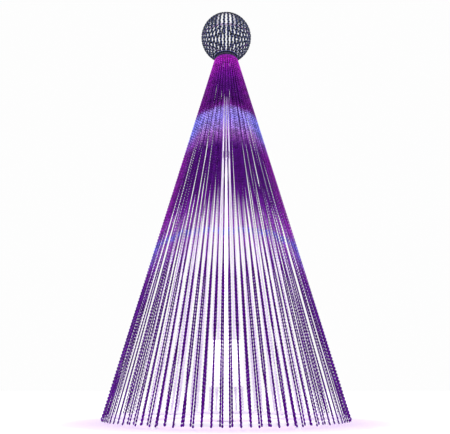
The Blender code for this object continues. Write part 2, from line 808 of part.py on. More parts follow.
def sector_mesh():
    """A quarter of the cage at the front: ribs between two bands, from a grid laid on the ball."""
    sector_arc = FULL_TURN / BALL_SECTORS
    rib_step = sector_arc / RIBS_PER_SECTOR
    rib_half = math.radians(RIB_ARC_DEGREES) / 2
    middle_radius = BALL_RADIUS - RIB_DEPTH / 2
    edge = sector_arc / 2 - SEAT_GAP / on_ball(middle_radius, RIB_END_LATITUDE)[0]
    azimuths = [-edge]
    for i in range(RIBS_PER_SECTOR):
        centre = (i + 0.5) * rib_step - sector_arc / 2
        azimuths += [centre - rib_half, centre + rib_half]
    azimuths.append(edge)
    inner_latitude = RIB_END_LATITUDE - RIB_BAND_LATITUDE
    latitudes = [inner_latitude * (2 * i / RIB_ROWS - 1) for i in range(RIB_ROWS + 1)]
    latitudes = [-RIB_END_LATITUDE, *latitudes, RIB_END_LATITUDE]
    columns, rows = len(azimuths) - 1, len(latitudes) - 1
    cage = bmesh.new()
    bmesh.ops.create_grid(cage, x_segments=columns, y_segments=rows, size=1)
    open_faces = []
    for face in cage.faces:
        middle = face.calc_center_median()
        column, row = int((middle.x + 1) / 2 * columns), int((middle.y + 1) / 2 * rows)
        if column % 2 == 0 and 0 < row < rows - 1:
            open_faces.append(face)
    bmesh.ops.delete(cage, geom=open_faces, context="FACES")
    for vert in cage.verts:
        azimuth = azimuths[round((vert.co.x + 1) / 2 * columns)]
        radius, height = on_ball(middle_radius, latitudes[round((vert.co.y + 1) / 2 * rows)])
        vert.co = around(radius, height, azimuth)
    mesh = bpy.data.meshes.new("ball_sector")
    cage.to_mesh(mesh)
    cage.free()
    shell = add_object("sector_cage", mesh)
    wall = shell.modifiers.new("wall", "SOLIDIFY")
    wall.thickness = RIB_DEPTH
    wall.offset = 0
    return mesh_of(shell)


def build_ball():
    pivot = axis_empty("ball_axis", (0, 0, ball_foot))
    mesh = sector_mesh()
    for i in range(BALL_SECTORS):
        sector = add_object(f"ball_sector_{i + 1}", mesh, bead_navy)
        sector.rotation_euler.z = (i + 0.5) * FULL_TURN / BALL_SECTORS
        ride(sector, pivot)
    cage_inner = BALL_RADIUS - RIB_DEPTH
    flange, inside = cage_inner - ARC_GAP, cage_inner - ARC_GAP - FLANGE_THICKNESS
    edge = RIB_END_LATITUDE + BALL_EDGE_LATITUDE
    crown = [
        on_ball(BALL_RADIUS, CROWN_END_LATITUDE),
        on_ball(BALL_RADIUS, edge),
        on_ball(flange, edge),
        on_ball(flange, FLANGE_LATITUDE),
        on_ball(inside, FLANGE_LATITUDE),
        on_ball(inside, CROWN_END_LATITUDE),
    ]
    ride(turned("ball_crown", crown, white_plastic, BOWL_STEPS), pivot)
    bore = head_radius + SEAT_GAP
    socket = bore + BALL_SOCKET_WALL
    floor = ball_foot + SOCKET_FLOOR
    floor_latitude = -math.degrees(math.asin((ball_centre - floor) / inside))
    turn_latitude = (edge + BOWL_END_LATITUDE) / 2
    bowl = [
        on_ball(flange, -FLANGE_LATITUDE),
        on_ball(flange, -edge),
        on_ball(BALL_RADIUS, -edge),
        on_ball(BALL_RADIUS, -turn_latitude),
        on_ball(BALL_RADIUS, -BOWL_END_LATITUDE),
        (bore, ball_foot),
        (bore, ball_socket_top),
        (socket, ball_socket_top),
        (socket, floor),
        on_ball(inside, floor_latitude),
        on_ball(inside, -FLANGE_LATITUDE),
    ]
    ride(turned("ball_bowl", bowl, dark_plastic, BOWL_STEPS), pivot)
    rib_inner = cage_inner * math.cos(math.radians(RIB_ARC_DEGREES) / 2)
    hoop_radius = rib_inner - RUNNING_GAP - HOOP_TUBE_RADIUS
    hoop = []
    for i in range(HOOP_TUBE_SIDES):
        angle = math.pi / 2 - i * FULL_TURN / HOOP_TUBE_SIDES
        across, up = HOOP_TUBE_RADIUS * math.cos(angle), HOOP_TUBE_RADIUS * math.sin(angle)
        hoop.append((hoop_radius + across, ball_centre + up))
    ring = turned("ball_hoop", hoop, hoop_violet, HOOP_STEPS)
    ring.rotation_euler.z = FULL_TURN / HOOP_STEPS / 2
    ride(ring, pivot)


def build_case():
    low = (case_side, case_front, case_foot)
    high = (-case_side, case_back, case_foot + CASE_HEIGHT)
    case = box("control_case", low, high, white_plastic, CASE_CORNER, along=1)
    room_low = (case_side + CASE_WALL, case_front + CASE_WALL, case_foot + CASE_WALL)
    room_high = (-case_side - CASE_WALL, case_back + OVERRUN, case_foot + CASE_HEIGHT - CASE_WALL)
    cut(case, box("case_room", room_low, room_high, None, CASE_CORNER - CASE_WALL, along=1))
    web_low = hinge_y - WEB_INSET - WEB_THICKNESS
    web_end = hinge_x - (knuckle_bore + KNUCKLE_RADIUS) / 2
    web_start = CASE_WIDTH / 2 - WEB_BITE
    for side in (-1, 1):
        near = case_middle + side * (KNUCKLE_LENGTH / 2 + KNUCKLE_GAP)
        far = near + side * KNUCKLE_LENGTH
        bottom, top = min(near, far), max(near, far)
        profile = tube_profile(KNUCKLE_RADIUS, knuckle_bore, bottom, top)
        knuckle = turned(f"case_knuckle_{side}", profile, None, TUBE_SIDES)
        knuckle.location = (hinge_x, hinge_y, 0)
        web = box(f"case_web_{side}", (web_start, web_low, bottom), (web_end, hinge_y - WEB_INSET, top))
        join(case, knuckle, web)
    tongue_back = door_inner - LATCH_TONGUE_DEPTH + LATCH_TONGUE_THICKNESS
    keeper_front = tongue_back + KEEPER_GAP
    keeper_low = (case_side + CASE_WALL / 2, keeper_front, case_middle - KEEPER_HEIGHT / 2)
    keeper_back = keeper_front + KEEPER_THICKNESS
    keeper_high = (case_side + KEEPER_REACH, keeper_back, case_middle + KEEPER_HEIGHT / 2)
    join(case, box("keeper", keeper_low, keeper_high))
    cutouts = (("inlet_cutout", INLET_HEIGHT, INLET_BODY), ("switch_cutout", SWITCH_HEIGHT, SWITCH_BODY))
    for name, height, size in cutouts:
        room = (2 * (CASE_WALL + OVERRUN), size[1] + 2 * SEAT_GAP, size[2] + 2 * SEAT_GAP)
        cut(case, centred_box(name, (case_side, side_middle, case_foot + height), room))
    button = Vector((case_side, side_middle, case_foot + BUTTON_HEIGHT))
    reach = Vector((OVERRUN, 0, 0))
    cut(case, rod("button_hole", BUTTON_RADIUS + RUNNING_GAP, button - reach, button + reach))
    start, end = (0, case_front - OVERRUN, lead_entry), (0, case_front + OVERRUN, lead_entry)
    cut(case, rod("lead_hole_case", LEAD_RADIUS + LEAD_HOLE_GAP, start, end))


def build_bracket():
    half = BRACKET_WIDTH / 2
    low = case_foot + BRACKET_RISE
    high = low + BRACKET_HEIGHT
    front = -MAST_RADIUS - BRACKET_WALL
    low_corner, high_corner = (-half, front, low), (half, bracket_back, high)
    bracket = box("case_bracket", low_corner, high_corner, white_powder, BRACKET_CORNER, along=2)
    bore = MAST_RADIUS + SEAT_GAP
    profile = [(0, high + OVERRUN), (bore, high + OVERRUN), (bore, low - OVERRUN), (0, low - OVERRUN)]
    cut(bracket, turned("bracket_bore", profile, None, MAST_STEPS))


def build_door():
    pivot = axis_empty("door_axis", (hinge_x, hinge_y, case_middle))
    low, high = (case_side, door_inner, case_foot), (-case_side, door_outer, case_foot + CASE_HEIGHT)
    door = box("case_door", low, high, white_plastic, CASE_CORNER, along=1)
    bottom, top = case_middle - KNUCKLE_LENGTH / 2, case_middle + KNUCKLE_LENGTH / 2
    profile = tube_profile(KNUCKLE_RADIUS, knuckle_bore, bottom, top)
    knuckle = turned("door_knuckle", profile, None, TUBE_SIDES)
    knuckle.location = (hinge_x, hinge_y, 0)
    web_low = (CASE_WIDTH / 2 - WEB_BITE, hinge_y + WEB_INSET, bottom)
    web_high = (hinge_x - (knuckle_bore + KNUCKLE_RADIUS) / 2, hinge_y + WEB_INSET + WEB_THICKNESS, top)
    join(door, knuckle, box("door_web", web_low, web_high))
    start = (latch_x, door_inner - OVERRUN, case_middle)
    end = (latch_x, door_outer + OVERRUN, case_middle)
    cut(door, rod("latch_hole", LATCH_SHAFT_RADIUS + RUNNING_GAP, start, end))
    ride(door, pivot)
    reach = KNUCKLE_LENGTH / 2 + KNUCKLE_GAP + KNUCKLE_LENGTH
    top, bottom = case_middle + reach, case_middle - reach
    head = top + SEAT_GAP
    profile = [
        (0, head + PIN_HEAD_HEIGHT),
        (PIN_HEAD_RADIUS, head + PIN_HEAD_HEIGHT),
        (PIN_HEAD_RADIUS, head),
        (PIN_RADIUS, head),
        (PIN_RADIUS, bottom - PIN_TAIL),
        (0, bottom - PIN_TAIL),
    ]
    pin = turned("hinge_pin", profile, bare_steel, TUBE_SIDES)
    pin.location = (hinge_x, hinge_y, 0)
    return pivot


def build_latch(door_pivot):
    """A quarter-turn latch. At rest its tongue stands upright, clear of the keeper."""
    pivot = axis_empty("latch_axis", (latch_x, door_inner, case_middle))
    tongue_front = door_inner - LATCH_TONGUE_DEPTH
    handle_front = door_outer + RUNNING_GAP
    handle_back = handle_front + LATCH_HANDLE_DEPTH
    start = (latch_x, tongue_front + LATCH_TONGUE_THICKNESS / 2, case_middle)
    end = (latch_x, handle_front + LATCH_HANDLE_DEPTH / 2, case_middle)
    latch = rod("door_latch", LATCH_SHAFT_RADIUS, start, end, black_plastic)
    half, wide = LATCH_HANDLE_LENGTH / 2, LATCH_HANDLE_WIDTH / 2
    handle = box(
        "latch_handle",
        (latch_x - wide, handle_front, case_middle - half),
        (latch_x + wide, handle_back, case_middle + half),
        None,
        wide / 2,
        along=1,
    )
    wide = LATCH_TONGUE_WIDTH / 2
    tongue_low = (latch_x - wide, tongue_front, case_middle - wide)
    tongue_high = (latch_x + wide, tongue_front + LATCH_TONGUE_THICKNESS, case_middle + LATCH_TONGUE_REACH)
    join(latch, handle, box("latch_tongue", tongue_low, tongue_high))
    ride(latch, pivot)
    pivot.parent = door_pivot
    pivot.matrix_parent_inverse = Matrix.Translation(-door_pivot.location)


def side_fitting(name, body_size, flange_size, cavity_size, height, finish):
    """A fitting in the side wall: a flange outside, a body through the wall and a cavity in its face."""
    face = case_side - SEAT_GAP
    middle_z = case_foot + height
    outside = face - flange_size[0]

    def span(low_x, high_x, size):
        low = (low_x, side_middle - size[1] / 2, middle_z - size[2] / 2)
        high = (high_x, side_middle + size[1] / 2, middle_z + size[2] / 2)
        return low, high

    fitting = box(name, *span(outside, face, flange_size), finish, FLANGE_CORNER, along=0)
    body_start = face - flange_size[0] / 2
    join(fitting, box(name + "_body", *span(body_start, outside + body_size[0], body_size)))
    cavity_end = outside + cavity_size[0]
    cut(fitting, box(name + "_cavity", *span(outside - OVERRUN, cavity_end, cavity_size)))
    return fitting, outside, middle_z


def build_side_fittings():
    inlet, outside, height = side_fitting(
        "power_inlet", INLET_BODY, INLET_FLANGE, INLET_CAVITY, INLET_HEIGHT, black_plastic
    )
    floor = outside + INLET_CAVITY[0]
    blade_x = floor - INLET_BLADE[0] / 2 + BLOCK_BITE
    for i in (-1, 0, 1):
        shift = INLET_BLADE_STEP if i == 0 else -INLET_BLADE_STEP / 2
        middle = (blade_x, side_middle + shift, height + i * INLET_BLADE_SPACING)
        join(inlet, centred_box(f"inlet_blade_{i}", middle, INLET_BLADE))

    housing, outside, height = side_fitting(
        "switch_housing", SWITCH_BODY, SWITCH_FLANGE, SWITCH_CAVITY, SWITCH_HEIGHT, black_plastic
    )
    axis_x = outside + ROCKER_AXIS_DEPTH
    reach = Vector((0, SWITCH_CAVITY[1] / 2 + ROCKER_PIN_LENGTH + SEAT_GAP, 0))
    middle = Vector((axis_x, side_middle, height))
    bore = ROCKER_PIN_RADIUS + PIN_RUNNING_GAP
    cut(housing, rod("rocker_bore", bore, middle - reach, middle + reach, sides=TUBE_SIDES))

    pivot = axis_empty("switch_axis", middle)
    half = ROCKER_LENGTH / 2
    face = [(-half, ROCKER_FACE), (0, ROCKER_FACE - ROCKER_DIP), (half, ROCKER_FACE)]
    outline = [*face, (half, 0), (half / 2, -ROCKER_FOOT), (-half / 2, -ROCKER_FOOT), (-half, 0)]
    rocker = add_object("rocker", outline_mesh("rocker", outline, ROCKER_THICKNESS))
    pin_half = Vector((0, 0, ROCKER_THICKNESS / 2 + ROCKER_PIN_LENGTH))
    pins = rod("rocker_pins", ROCKER_PIN_RADIUS, -pin_half, pin_half, sides=TUBE_SIDES)
    join(rocker, pins)
    shape = add_object("power_switch", mesh_of(rocker), black_plastic)
    bpy.data.objects.remove(pins, do_unlink=True)
    # The outline's own X runs up the case, its Y out of the wall and its Z along the rocker's pins
    turn = Matrix(((0, -1, 0), (0, 0, -1), (1, 0, 0))).to_4x4()
    tilt = Matrix.Rotation(math.radians(ROCKER_TILT_DEGREES), 4, "Y")
    shape.parent = pivot
    shape.matrix_basis = tilt @ turn

    press = axis_empty("button_axis", (case_side, side_middle, case_foot + BUTTON_HEIGHT))
    wall_in = CASE_WALL + SEAT_GAP
    profile = [
        (0, BUTTON_STAND),
        (BUTTON_RADIUS, BUTTON_STAND),
        (BUTTON_RADIUS, -wall_in),
        (BUTTON_FLANGE_RADIUS, -wall_in),
        (BUTTON_FLANGE_RADIUS, -wall_in - BUTTON_FLANGE),
        (0, -wall_in - BUTTON_FLANGE),
    ]
    button = turned("mode_button", profile, black_plastic, SMALL_SIDES)
    button.parent = press
    button.rotation_euler.y = -math.pi / 2


def build_electronics():
    wall = case_front + CASE_WALL + SEAT_GAP
    low = Vector((SUPPLY_INSET, wall, case_foot + SUPPLY_HEIGHT))
    size = Vector((half_room - SUPPLY_INSET - SUPPLY_SIDE_GAP, SUPPLY_DEPTH, SUPPLY_RISE))
    supply = box("power_supply", low, low + size, bare_steel)
    start = low + Vector((SUPPLY_TERMINAL_MARGIN, SUPPLY_DEPTH - BLOCK_BITE, SUPPLY_TERMINAL_RISE))
    block_width = size.x - 2 * SUPPLY_TERMINAL_MARGIN
    size = Vector((block_width, SUPPLY_TERMINAL_DEPTH, SUPPLY_TERMINAL_HEIGHT))
    join(supply, box("supply_terminals", start, start + size))

    board_width = half_room - BOARD_INSET - BOARD_SIDE_GAP
    board_low = Vector((-BOARD_INSET - board_width, wall + BOARD_STANDOFF, case_foot + BOARD_HEIGHT))
    board_high = board_low + Vector((board_width, BOARD_THICKNESS, BOARD_RISE))
    board = box("pixel_controller", board_low, board_high, board_green)
    for x in (board_low.x + STANDOFF_INSET, board_high.x - STANDOFF_INSET):
        for z in (board_low.z + STANDOFF_INSET, board_high.z - STANDOFF_INSET):
            foot, head = (x, wall, z), (x, board_low.y + BLOCK_BITE, z)
            join(board, rod(f"standoff_{x:.3f}_{z:.3f}", STANDOFF_RADIUS, foot, head, sides=TUBE_SIDES))
    face = board_high.y - BLOCK_BITE
    output_block = (board_width - 2 * OUTPUT_BLOCK_INSET, OUTPUT_BLOCK_DEPTH, OUTPUT_BLOCK_HEIGHT)
    output_x, output_z = board_low.x + OUTPUT_BLOCK_INSET, board_low.z + OUTPUT_BLOCK_INSET
    blocks = (
        ("lead_block", LEAD_BLOCK, lead_end - SEAT_GAP - LEAD_BLOCK[0], lead_entry - LEAD_BLOCK[2] / 2),
        ("heat_sink", HEAT_SINK, board_low.x + HEAT_SINK_INSET, board_low.z + HEAT_SINK_RISE),
        ("output_block", output_block, output_x, output_z),
    )
    for name, size, x, z in blocks:
        start = Vector((x, face, z))
        join(board, box(name, start, start + Vector(size)))


def build_lead():
    """Down the mast, out through its wall into the case and round to the controller's block."""
    head = (0, 0, mast_head + LEAD_TOP_RISE)
    points = [head]
    for i in range(LEAD_BEND_STEPS + 1):
        angle = i / LEAD_BEND_STEPS * math.pi / 2
        y = LEAD_MAST_BEND * (1 - math.cos(angle))
        z = lead_entry + LEAD_MAST_BEND * (1 - math.sin(angle))
        points.append((0, y, z))
    board_face = case_front + CASE_WALL + SEAT_GAP + BOARD_STANDOFF + BOARD_THICKNESS
    block_y = board_face + LEAD_BLOCK[1] / 2
    for i in range(LEAD_BEND_STEPS + 1):
        angle = i / LEAD_BEND_STEPS * math.pi / 2
        x = -LEAD_CASE_BEND * (1 - math.cos(angle))
        y = block_y - LEAD_CASE_BEND * (1 - math.sin(angle))
        points.append((x, y, lead_entry))
    points.append((lead_end, block_y, lead_entry))
    wire("mast_lead", points, LEAD_RADIUS, black_rubber, LEAD_SIDES)


clear_scene()
parts = collection("led_christmas_tree")
helpers = collection("cutters")
helpers.hide_render = True
bead_violet = material("bead_violet", (0.10, 0.005, 0.20), 0.35)
bead_navy = material("bead_navy", (0.03, 0.03, 0.10), 0.35)
hoop_violet = material("hoop_violet", (0.35, 0.12, 0.50), 0.40)
white_powder = material("white_powder_coat", (0.86, 0.86, 0.88), 0.45)
white_plastic = material("white_plastic", (0.85, 0.85, 0.86), 0.50)
dark_plastic = material("dark_plastic", (0.03, 0.03, 0.06), 0.45)
black_plastic = material("black_plastic", (0.03, 0.03, 0.03), 0.50)
black_rubber = material("black_rubber", (0.02, 0.02, 0.02), 0.85)
white_rubber = material("white_rubber", (0.80, 0.80, 0.80), 0.85)
bare_steel = material("bare_steel", (0.55, 0.56, 0.58), 0.35, 1.0)
board_green = material("board_green", (0.02, 0.16, 0.06), 0.45)

build_panels()
build_ring()
build_base()
build_mast()
build_carrier()
build_ball()
build_case()
build_bracket()
build_latch(build_door())
build_side_fittings()
build_electronics()
build_lead()
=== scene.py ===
import math
import random

import bpy
import numpy as np
from mathutils import Matrix, Vector


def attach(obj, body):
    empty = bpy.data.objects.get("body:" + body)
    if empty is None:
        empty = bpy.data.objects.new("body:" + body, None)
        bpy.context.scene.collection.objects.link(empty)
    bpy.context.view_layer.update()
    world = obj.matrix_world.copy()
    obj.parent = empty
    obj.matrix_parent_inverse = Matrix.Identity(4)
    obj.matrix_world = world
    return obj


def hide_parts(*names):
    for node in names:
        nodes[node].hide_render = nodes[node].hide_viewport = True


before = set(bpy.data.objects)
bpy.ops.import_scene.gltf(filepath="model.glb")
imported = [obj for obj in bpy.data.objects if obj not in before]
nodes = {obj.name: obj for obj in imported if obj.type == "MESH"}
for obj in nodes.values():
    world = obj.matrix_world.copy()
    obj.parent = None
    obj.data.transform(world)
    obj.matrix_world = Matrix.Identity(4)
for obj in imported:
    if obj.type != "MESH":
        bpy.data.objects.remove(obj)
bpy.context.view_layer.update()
fullTurn = 2 * math.pi
print("frame loaded:", len(nodes), "nodes")

# The curve between a screen's colour values and linear light
screenCurve = {"knee": 0.04045, "slope": 12.92, "offset": 0.055, "power": 2.4}


def shade(red, green, blue):
    # a screen colour, 0 to 255, as the linear colour that Blender's sockets take
    linear = []
    for value in (red / 255, green / 255, blue / 255):
        if value <= screenCurve["knee"]:
            linear.append(value / screenCurve["slope"])
        else:
            offset = screenCurve["offset"]
            linear.append(((value + offset) / (1 + offset)) ** screenCurve["power"])
    return (*linear, 1.0)


def newFinish(name, roughness=0.5, specular=0.5, metallic=0.0):
    finish = bpy.data.materials.new(name)
    finish.use_nodes = True
    shader = finish.node_tree.nodes["Principled BSDF"]
    shader.inputs["Roughness"].default_value = roughness
    shader.inputs["Specular IOR Level"].default_value = specular
    shader.inputs["Metallic"].default_value = metallic
    return finish, finish.node_tree, shader


def node(tree, kind, fields=None, **inputs):
    # adds a node. An input is named, or numbered as i0, i1; it is a value, or the output it is linked to
    made = tree.nodes.new("ShaderNode" + kind)
    for name, value in (fields or {}).items():
        setattr(made, name, value)
    for name, value in inputs.items():
        socket = made.inputs[int(name[1:])] if name[0] == "i" and name[1:].isdigit() else made.inputs[name]
        if isinstance(value, bpy.types.NodeSocket):
            tree.links.new(value, socket)
        else:
            socket.default_value = value
    return made


def maths(tree, operation, first, second=0.0):
    return node(tree, "Math", {"operation": operation}, i0=first, i1=second).outputs[0]


def between(tree, value, start, end, low=0.0, high=1.0):
    # low at start, high at end, and a straight change from one to the other
    return node(tree, "MapRange", None, i0=value, i1=start, i2=end, i3=low, i4=high).outputs[0]


def noise(tree, where, scale, detail=2.0, roughness=0.5):
    made = node(tree, "TexNoise", None, Vector=where, Scale=scale, Detail=detail, Roughness=roughness)
    return made.outputs["Fac"]


def ramp(tree, factor, stops):
    made = node(tree, "ValToRGB", None, Fac=factor)
    band = made.color_ramp
    while len(band.elements) < len(stops):
        band.elements.new(0.5)  # anywhere: they are placed below
    for element, (place, _) in zip(band.elements, stops):
        element.position = place
    for element, (place, colour) in zip(band.elements, stops):  # again, in case that changed their order
        element.position = place
        element.color = colour
    return made.outputs["Color"]


def cloudRamp(tree, cloud, span, low, high):
    # one screen colour where the cloud is thin and another where it is thick
    return ramp(tree, cloud, [(span[0], shade(*low)), (span[1], shade(*high))])


def mixColour(tree, factor, first, second, blendType="MIX"):
    made = node(tree, "Mix", {"data_type": "RGBA", "blend_type": blendType}, i0=factor, i6=first, i7=second)
    return made.outputs[2]


def bump(tree, shader, height, strength, distance):
    made = node(tree, "Bump", None, Strength=strength, Distance=distance, Height=height)
    tree.links.new(made.outputs["Normal"], shader.inputs["Normal"])


def ownPlace(tree):
    return node(tree, "TexCoord").outputs["Object"]


def worldPlace(tree):
    return node(tree, "NewGeometry").outputs["Position"]


# Powder coat, moulded plastic, rubber, steel: one recipe, with a dictionary for each. The white finishes add
# a painted glow
coats = {
    "whitePowderCoat": dict(
        colour=(250, 247, 253), dark=(243, 238, 249), roughness=(0.42, 0.58), specular=0.3,
        grain=900.0, cloud=6.0, bump=0.25, depth=0.00012, metallic=0.0, paintedGlow=0.30),
    # the white powder coat again, with a stronger painted glow for the mast in the shade of the cone
    "mastCoatMorePaintedGlow": dict(
        colour=(252, 249, 254), dark=(246, 241, 251), roughness=(0.42, 0.58), specular=0.3,
        grain=900.0, cloud=6.0, bump=0.25, depth=0.00012, metallic=0.0, paintedGlow=0.42),
    "whiteMouldedPlastic": dict(
        colour=(248, 245, 251), dark=(240, 235, 246), roughness=(0.38, 0.52), specular=0.35,
        grain=1500.0, cloud=9.0, bump=0.15, depth=0.00006, metallic=0.0, paintedGlow=0.14),
    "blackMouldedPlastic": dict(
        colour=(42, 42, 45), dark=(28, 28, 31), roughness=(0.4, 0.6), specular=0.4,
        grain=1400.0, cloud=12.0, bump=0.3, depth=0.00008, metallic=0.0),
    "blackRubber": dict(
        colour=(34, 34, 36), dark=(24, 24, 25), roughness=(0.75, 0.92), specular=0.25,
        grain=1100.0, cloud=18.0, bump=0.3, depth=0.0001, metallic=0.0),
    "whiteRubber": dict(
        colour=(232, 232, 233), dark=(222, 222, 224), roughness=(0.75, 0.92), specular=0.2,
        grain=1100.0, cloud=18.0, bump=0.3, depth=0.0001, metallic=0.0),
    "brushedSteel": dict(
        colour=(196, 198, 202), dark=(168, 170, 176), roughness=(0.25, 0.42), specular=0.5,
        grain=700.0, cloud=10.0, bump=0.1, depth=0.00005, metallic=1.0),
    "hoopViolet": dict(
        colour=(196, 92, 206), dark=(158, 66, 184), roughness=(0.3, 0.45), specular=0.4,
        grain=900.0, cloud=20.0, bump=0.1, depth=0.00005, metallic=0.0),
    "boardGreen": dict(
        colour=(30, 112, 62), dark=(16, 82, 44), roughness=(0.35, 0.5), specular=0.45,
        grain=800.0, cloud=30.0, bump=0.2, depth=0.00006, metallic=0.0),
    "headerViolet": dict(
        colour=(78, 12, 100), dark=(44, 4, 66), roughness=(0.4, 0.55), specular=0.25,
        grain=1200.0, cloud=16.0, bump=0.2, depth=0.00008, metallic=0.0),
}
coatCloud = {
    "detail": 4.0,
    "roughness": 0.6,
    "colourSpan": (0.35, 0.65),  # of the cloud, where the colour changes from dark to full
    "roughnessSpan": (0.3, 0.7),
}


def coat(name, values):
    finish, tree, shader = newFinish(name, specular=values["specular"], metallic=values["metallic"])
    where = ownPlace(tree)
    cloud = noise(tree, where, values["cloud"], coatCloud["detail"], coatCloud["roughness"])
    grain = noise(tree, where, values["grain"])
    colour = cloudRamp(tree, cloud, coatCloud["colourSpan"], values["dark"], values["colour"])
    tree.links.new(colour, shader.inputs["Base Color"])
    # painted glow: emission in the piece's own colour, standing in for the strings' light on it in the shade
    # of the cone
    if "paintedGlow" in values:  # the light that the piece takes up from the strings
        tree.links.new(colour, shader.inputs["Emission Color"])
        shader.inputs["Emission Strength"].default_value = values["paintedGlow"]
    roughness = between(tree, cloud, *coatCloud["roughnessSpan"], *values["roughness"])
    tree.links.new(roughness, shader.inputs["Roughness"])
    bump(tree, shader, grain, values["bump"], values["depth"])
    return finish


# The light show on the strings, with its colours by height and a painted sheen at the tree's outline. Lengths
# are in metres
show = {
    "wave": 0.05,  # how far the edges of the colour bands wander
    "waveScale": 7.0,
    "waveDetail": 3.0,
    "waveRoughness": 0.6,
    "dip": 0.045,  # how far the bands come down towards the sides
    "coneFoot": 0.855,  # the cone's radius on the floor
    "coneSlope": 0.2704,  # and how much it narrows for each metre of height
    # the painted sheen at the tree's outline: where it begins and where it is full
    "edge": (0.75, 0.82),  # how far out the colours of the edge begin, and where they have their full share
    "paintedOutlineLightShare": 0.75,
    "colours": [
        (0.00, (76, 0, 124)),
        (0.60, (62, 0, 106)),
        (1.00, (74, 2, 118)),
        (1.08, (96, 22, 140)),
        (1.15, (128, 56, 164)),
        (1.205, (128, 66, 174)),
        (1.222, (96, 94, 196)),
        (1.250, (94, 90, 196)),
        (1.268, (132, 62, 170)),
        (1.36, (132, 56, 170)),
        (1.43, (104, 28, 146)),
        (1.50, (82, 8, 124)),
        (1.62, (62, 2, 102)),
        (1.92, (68, 4, 108)),
        (2.00, (132, 74, 164)),
        (2.06, (160, 114, 198)),
        (2.10, (160, 134, 218)),
        (2.17, (148, 142, 232)),
        (2.25, (156, 142, 226)),
        (2.29, (112, 30, 140)),
        (2.34, (66, 2, 96)),
        (2.50, (72, 4, 108)),
        (2.62, (112, 14, 148)),
        (2.71, (160, 28, 180)),
        (2.82, (196, 44, 206)),
    ],
    # the show's colours with a painted sheen, as they look at the tree's outline
    "outlinePaintedSheenColours": [
        (0.00, (98, 14, 150)),
        (0.90, (92, 10, 146)),
        (1.05, (120, 30, 160)),
        (1.14, (110, 100, 200)),
        (1.24, (96, 100, 200)),
        (1.34, (140, 24, 166)),
        (1.94, (140, 18, 164)),
        (2.04, (128, 76, 190)),
        (2.10, (112, 124, 226)),
        (2.26, (112, 124, 226)),
        (2.31, (120, 14, 144)),
        (2.60, (126, 16, 150)),
        (2.82, (176, 38, 190)),
    ],
}


def farOut(tree, parts):
    # how far to the side a point stands, brought down the cone to the floor: 0.85 on the tree's outline
    drop = maths(tree, "MULTIPLY", parts.outputs[2], show["coneSlope"])
    return maths(tree, "ADD", maths(tree, "ABSOLUTE", parts.outputs[0]), drop)


def showColour(tree):
    # the colour of the show, and the place with its left and right mirrored
    parts = node(tree, "SeparateXYZ", None, Vector=worldPlace(tree))
    across, deep, height = parts.outputs
    mirrored = node(tree, "CombineXYZ", None, X=maths(tree, "ABSOLUTE", across), Y=deep, Z=height).outputs[0]
    cloud = noise(tree, mirrored, show["waveScale"], show["waveDetail"], show["waveRoughness"])
    wave = maths(tree, "MULTIPLY", maths(tree, "SUBTRACT", cloud, 0.5), 2 * show["wave"])
    radius = maths(tree, "SUBTRACT", show["coneFoot"], maths(tree, "MULTIPLY", height, show["coneSlope"]))
    aside = maths(tree, "DIVIDE", across, radius)
    dip = maths(tree, "MULTIPLY", maths(tree, "MULTIPLY", aside, aside), show["dip"])
    top = show["colours"][-1][0]
    risen = maths(tree, "DIVIDE", maths(tree, "ADD", maths(tree, "ADD", height, wave), dip), top)
    inner, edge = (ramp(tree, risen, [(z / top, shade(*colour)) for z, colour in show[name]])
                   for name in ("colours", "outlinePaintedSheenColours"))
    # towards the outline the colours with the painted sheen take over
    share = between(tree, farOut(tree, parts), *show["edge"], 0.0, show["paintedOutlineLightShare"])
    return mixColour(tree, share, inner, edge), mirrored


bead = {
    "roughness": 0.45,
    "specular": 0.05,
    "sparkle": 0.35,  # how much one bead differs from the next
    "patch": 0.6,  # and one stretch of the strings from another
    "patchScale": 26.0,
    # a painted highlight: the lens brighter than the foot
    "lens": 0.45,  # how much brighter a bead's lens is than its foot
    "levels": [(0.30, shade(132, 132, 132)), (0.60, shade(222, 222, 222)), (1.0, (1.9, 1.7, 1.8, 1.0))],
}


def beadFinish(name):
    # each bead is darker round its foot and brighter on its lens: a painted highlight that grows towards the
    # lens
    finish, tree, shader = newFinish(name, bead["roughness"], bead["specular"])
    colour, where = showColour(tree)
    tone = node(tree, "Attribute", {"attribute_name": "tone"}).outputs["Fac"]
    lens = node(tree, "Attribute", {"attribute_name": "lens"}).outputs["Fac"]
    patch = noise(tree, where, bead["patchScale"])
    level = maths(tree, "ADD", maths(tree, "MULTIPLY", tone, bead["sparkle"]),
                  maths(tree, "MULTIPLY", patch, bead["patch"]))
    level = maths(tree, "ADD", level, maths(tree, "MULTIPLY", lens, bead["lens"]))
    lit = mixColour(tree, 1.0, colour, ramp(tree, level, bead["levels"]), "MULTIPLY")
    tree.links.new(lit, shader.inputs["Base Color"])
    return finish


tapeFront = {
    "roughness": 0.6,
    "specular": 0.05,
    "paler": (170, 66, 226),  # the tape between the beads takes some of this
    "palerShare": 0.34,
    "fadeScale": 60.0,
    "fadeSpan": (0.3, 0.7),
    "fade": ((200, 200, 200), (244, 244, 244)),
}


def tapeFrontFinish(name):
    # the side of the tape that carries the beads, and its edges
    finish, tree, shader = newFinish(name, tapeFront["roughness"], tapeFront["specular"])
    colour, where = showColour(tree)
    paler = mixColour(tree, tapeFront["palerShare"], colour, shade(*tapeFront["paler"]))
    cloud = noise(tree, where, tapeFront["fadeScale"])
    fade = cloudRamp(tree, cloud, tapeFront["fadeSpan"], *tapeFront["fade"])
    tree.links.new(mixColour(tree, 1.0, paler, fade, "MULTIPLY"), shader.inputs["Base Color"])
    return finish
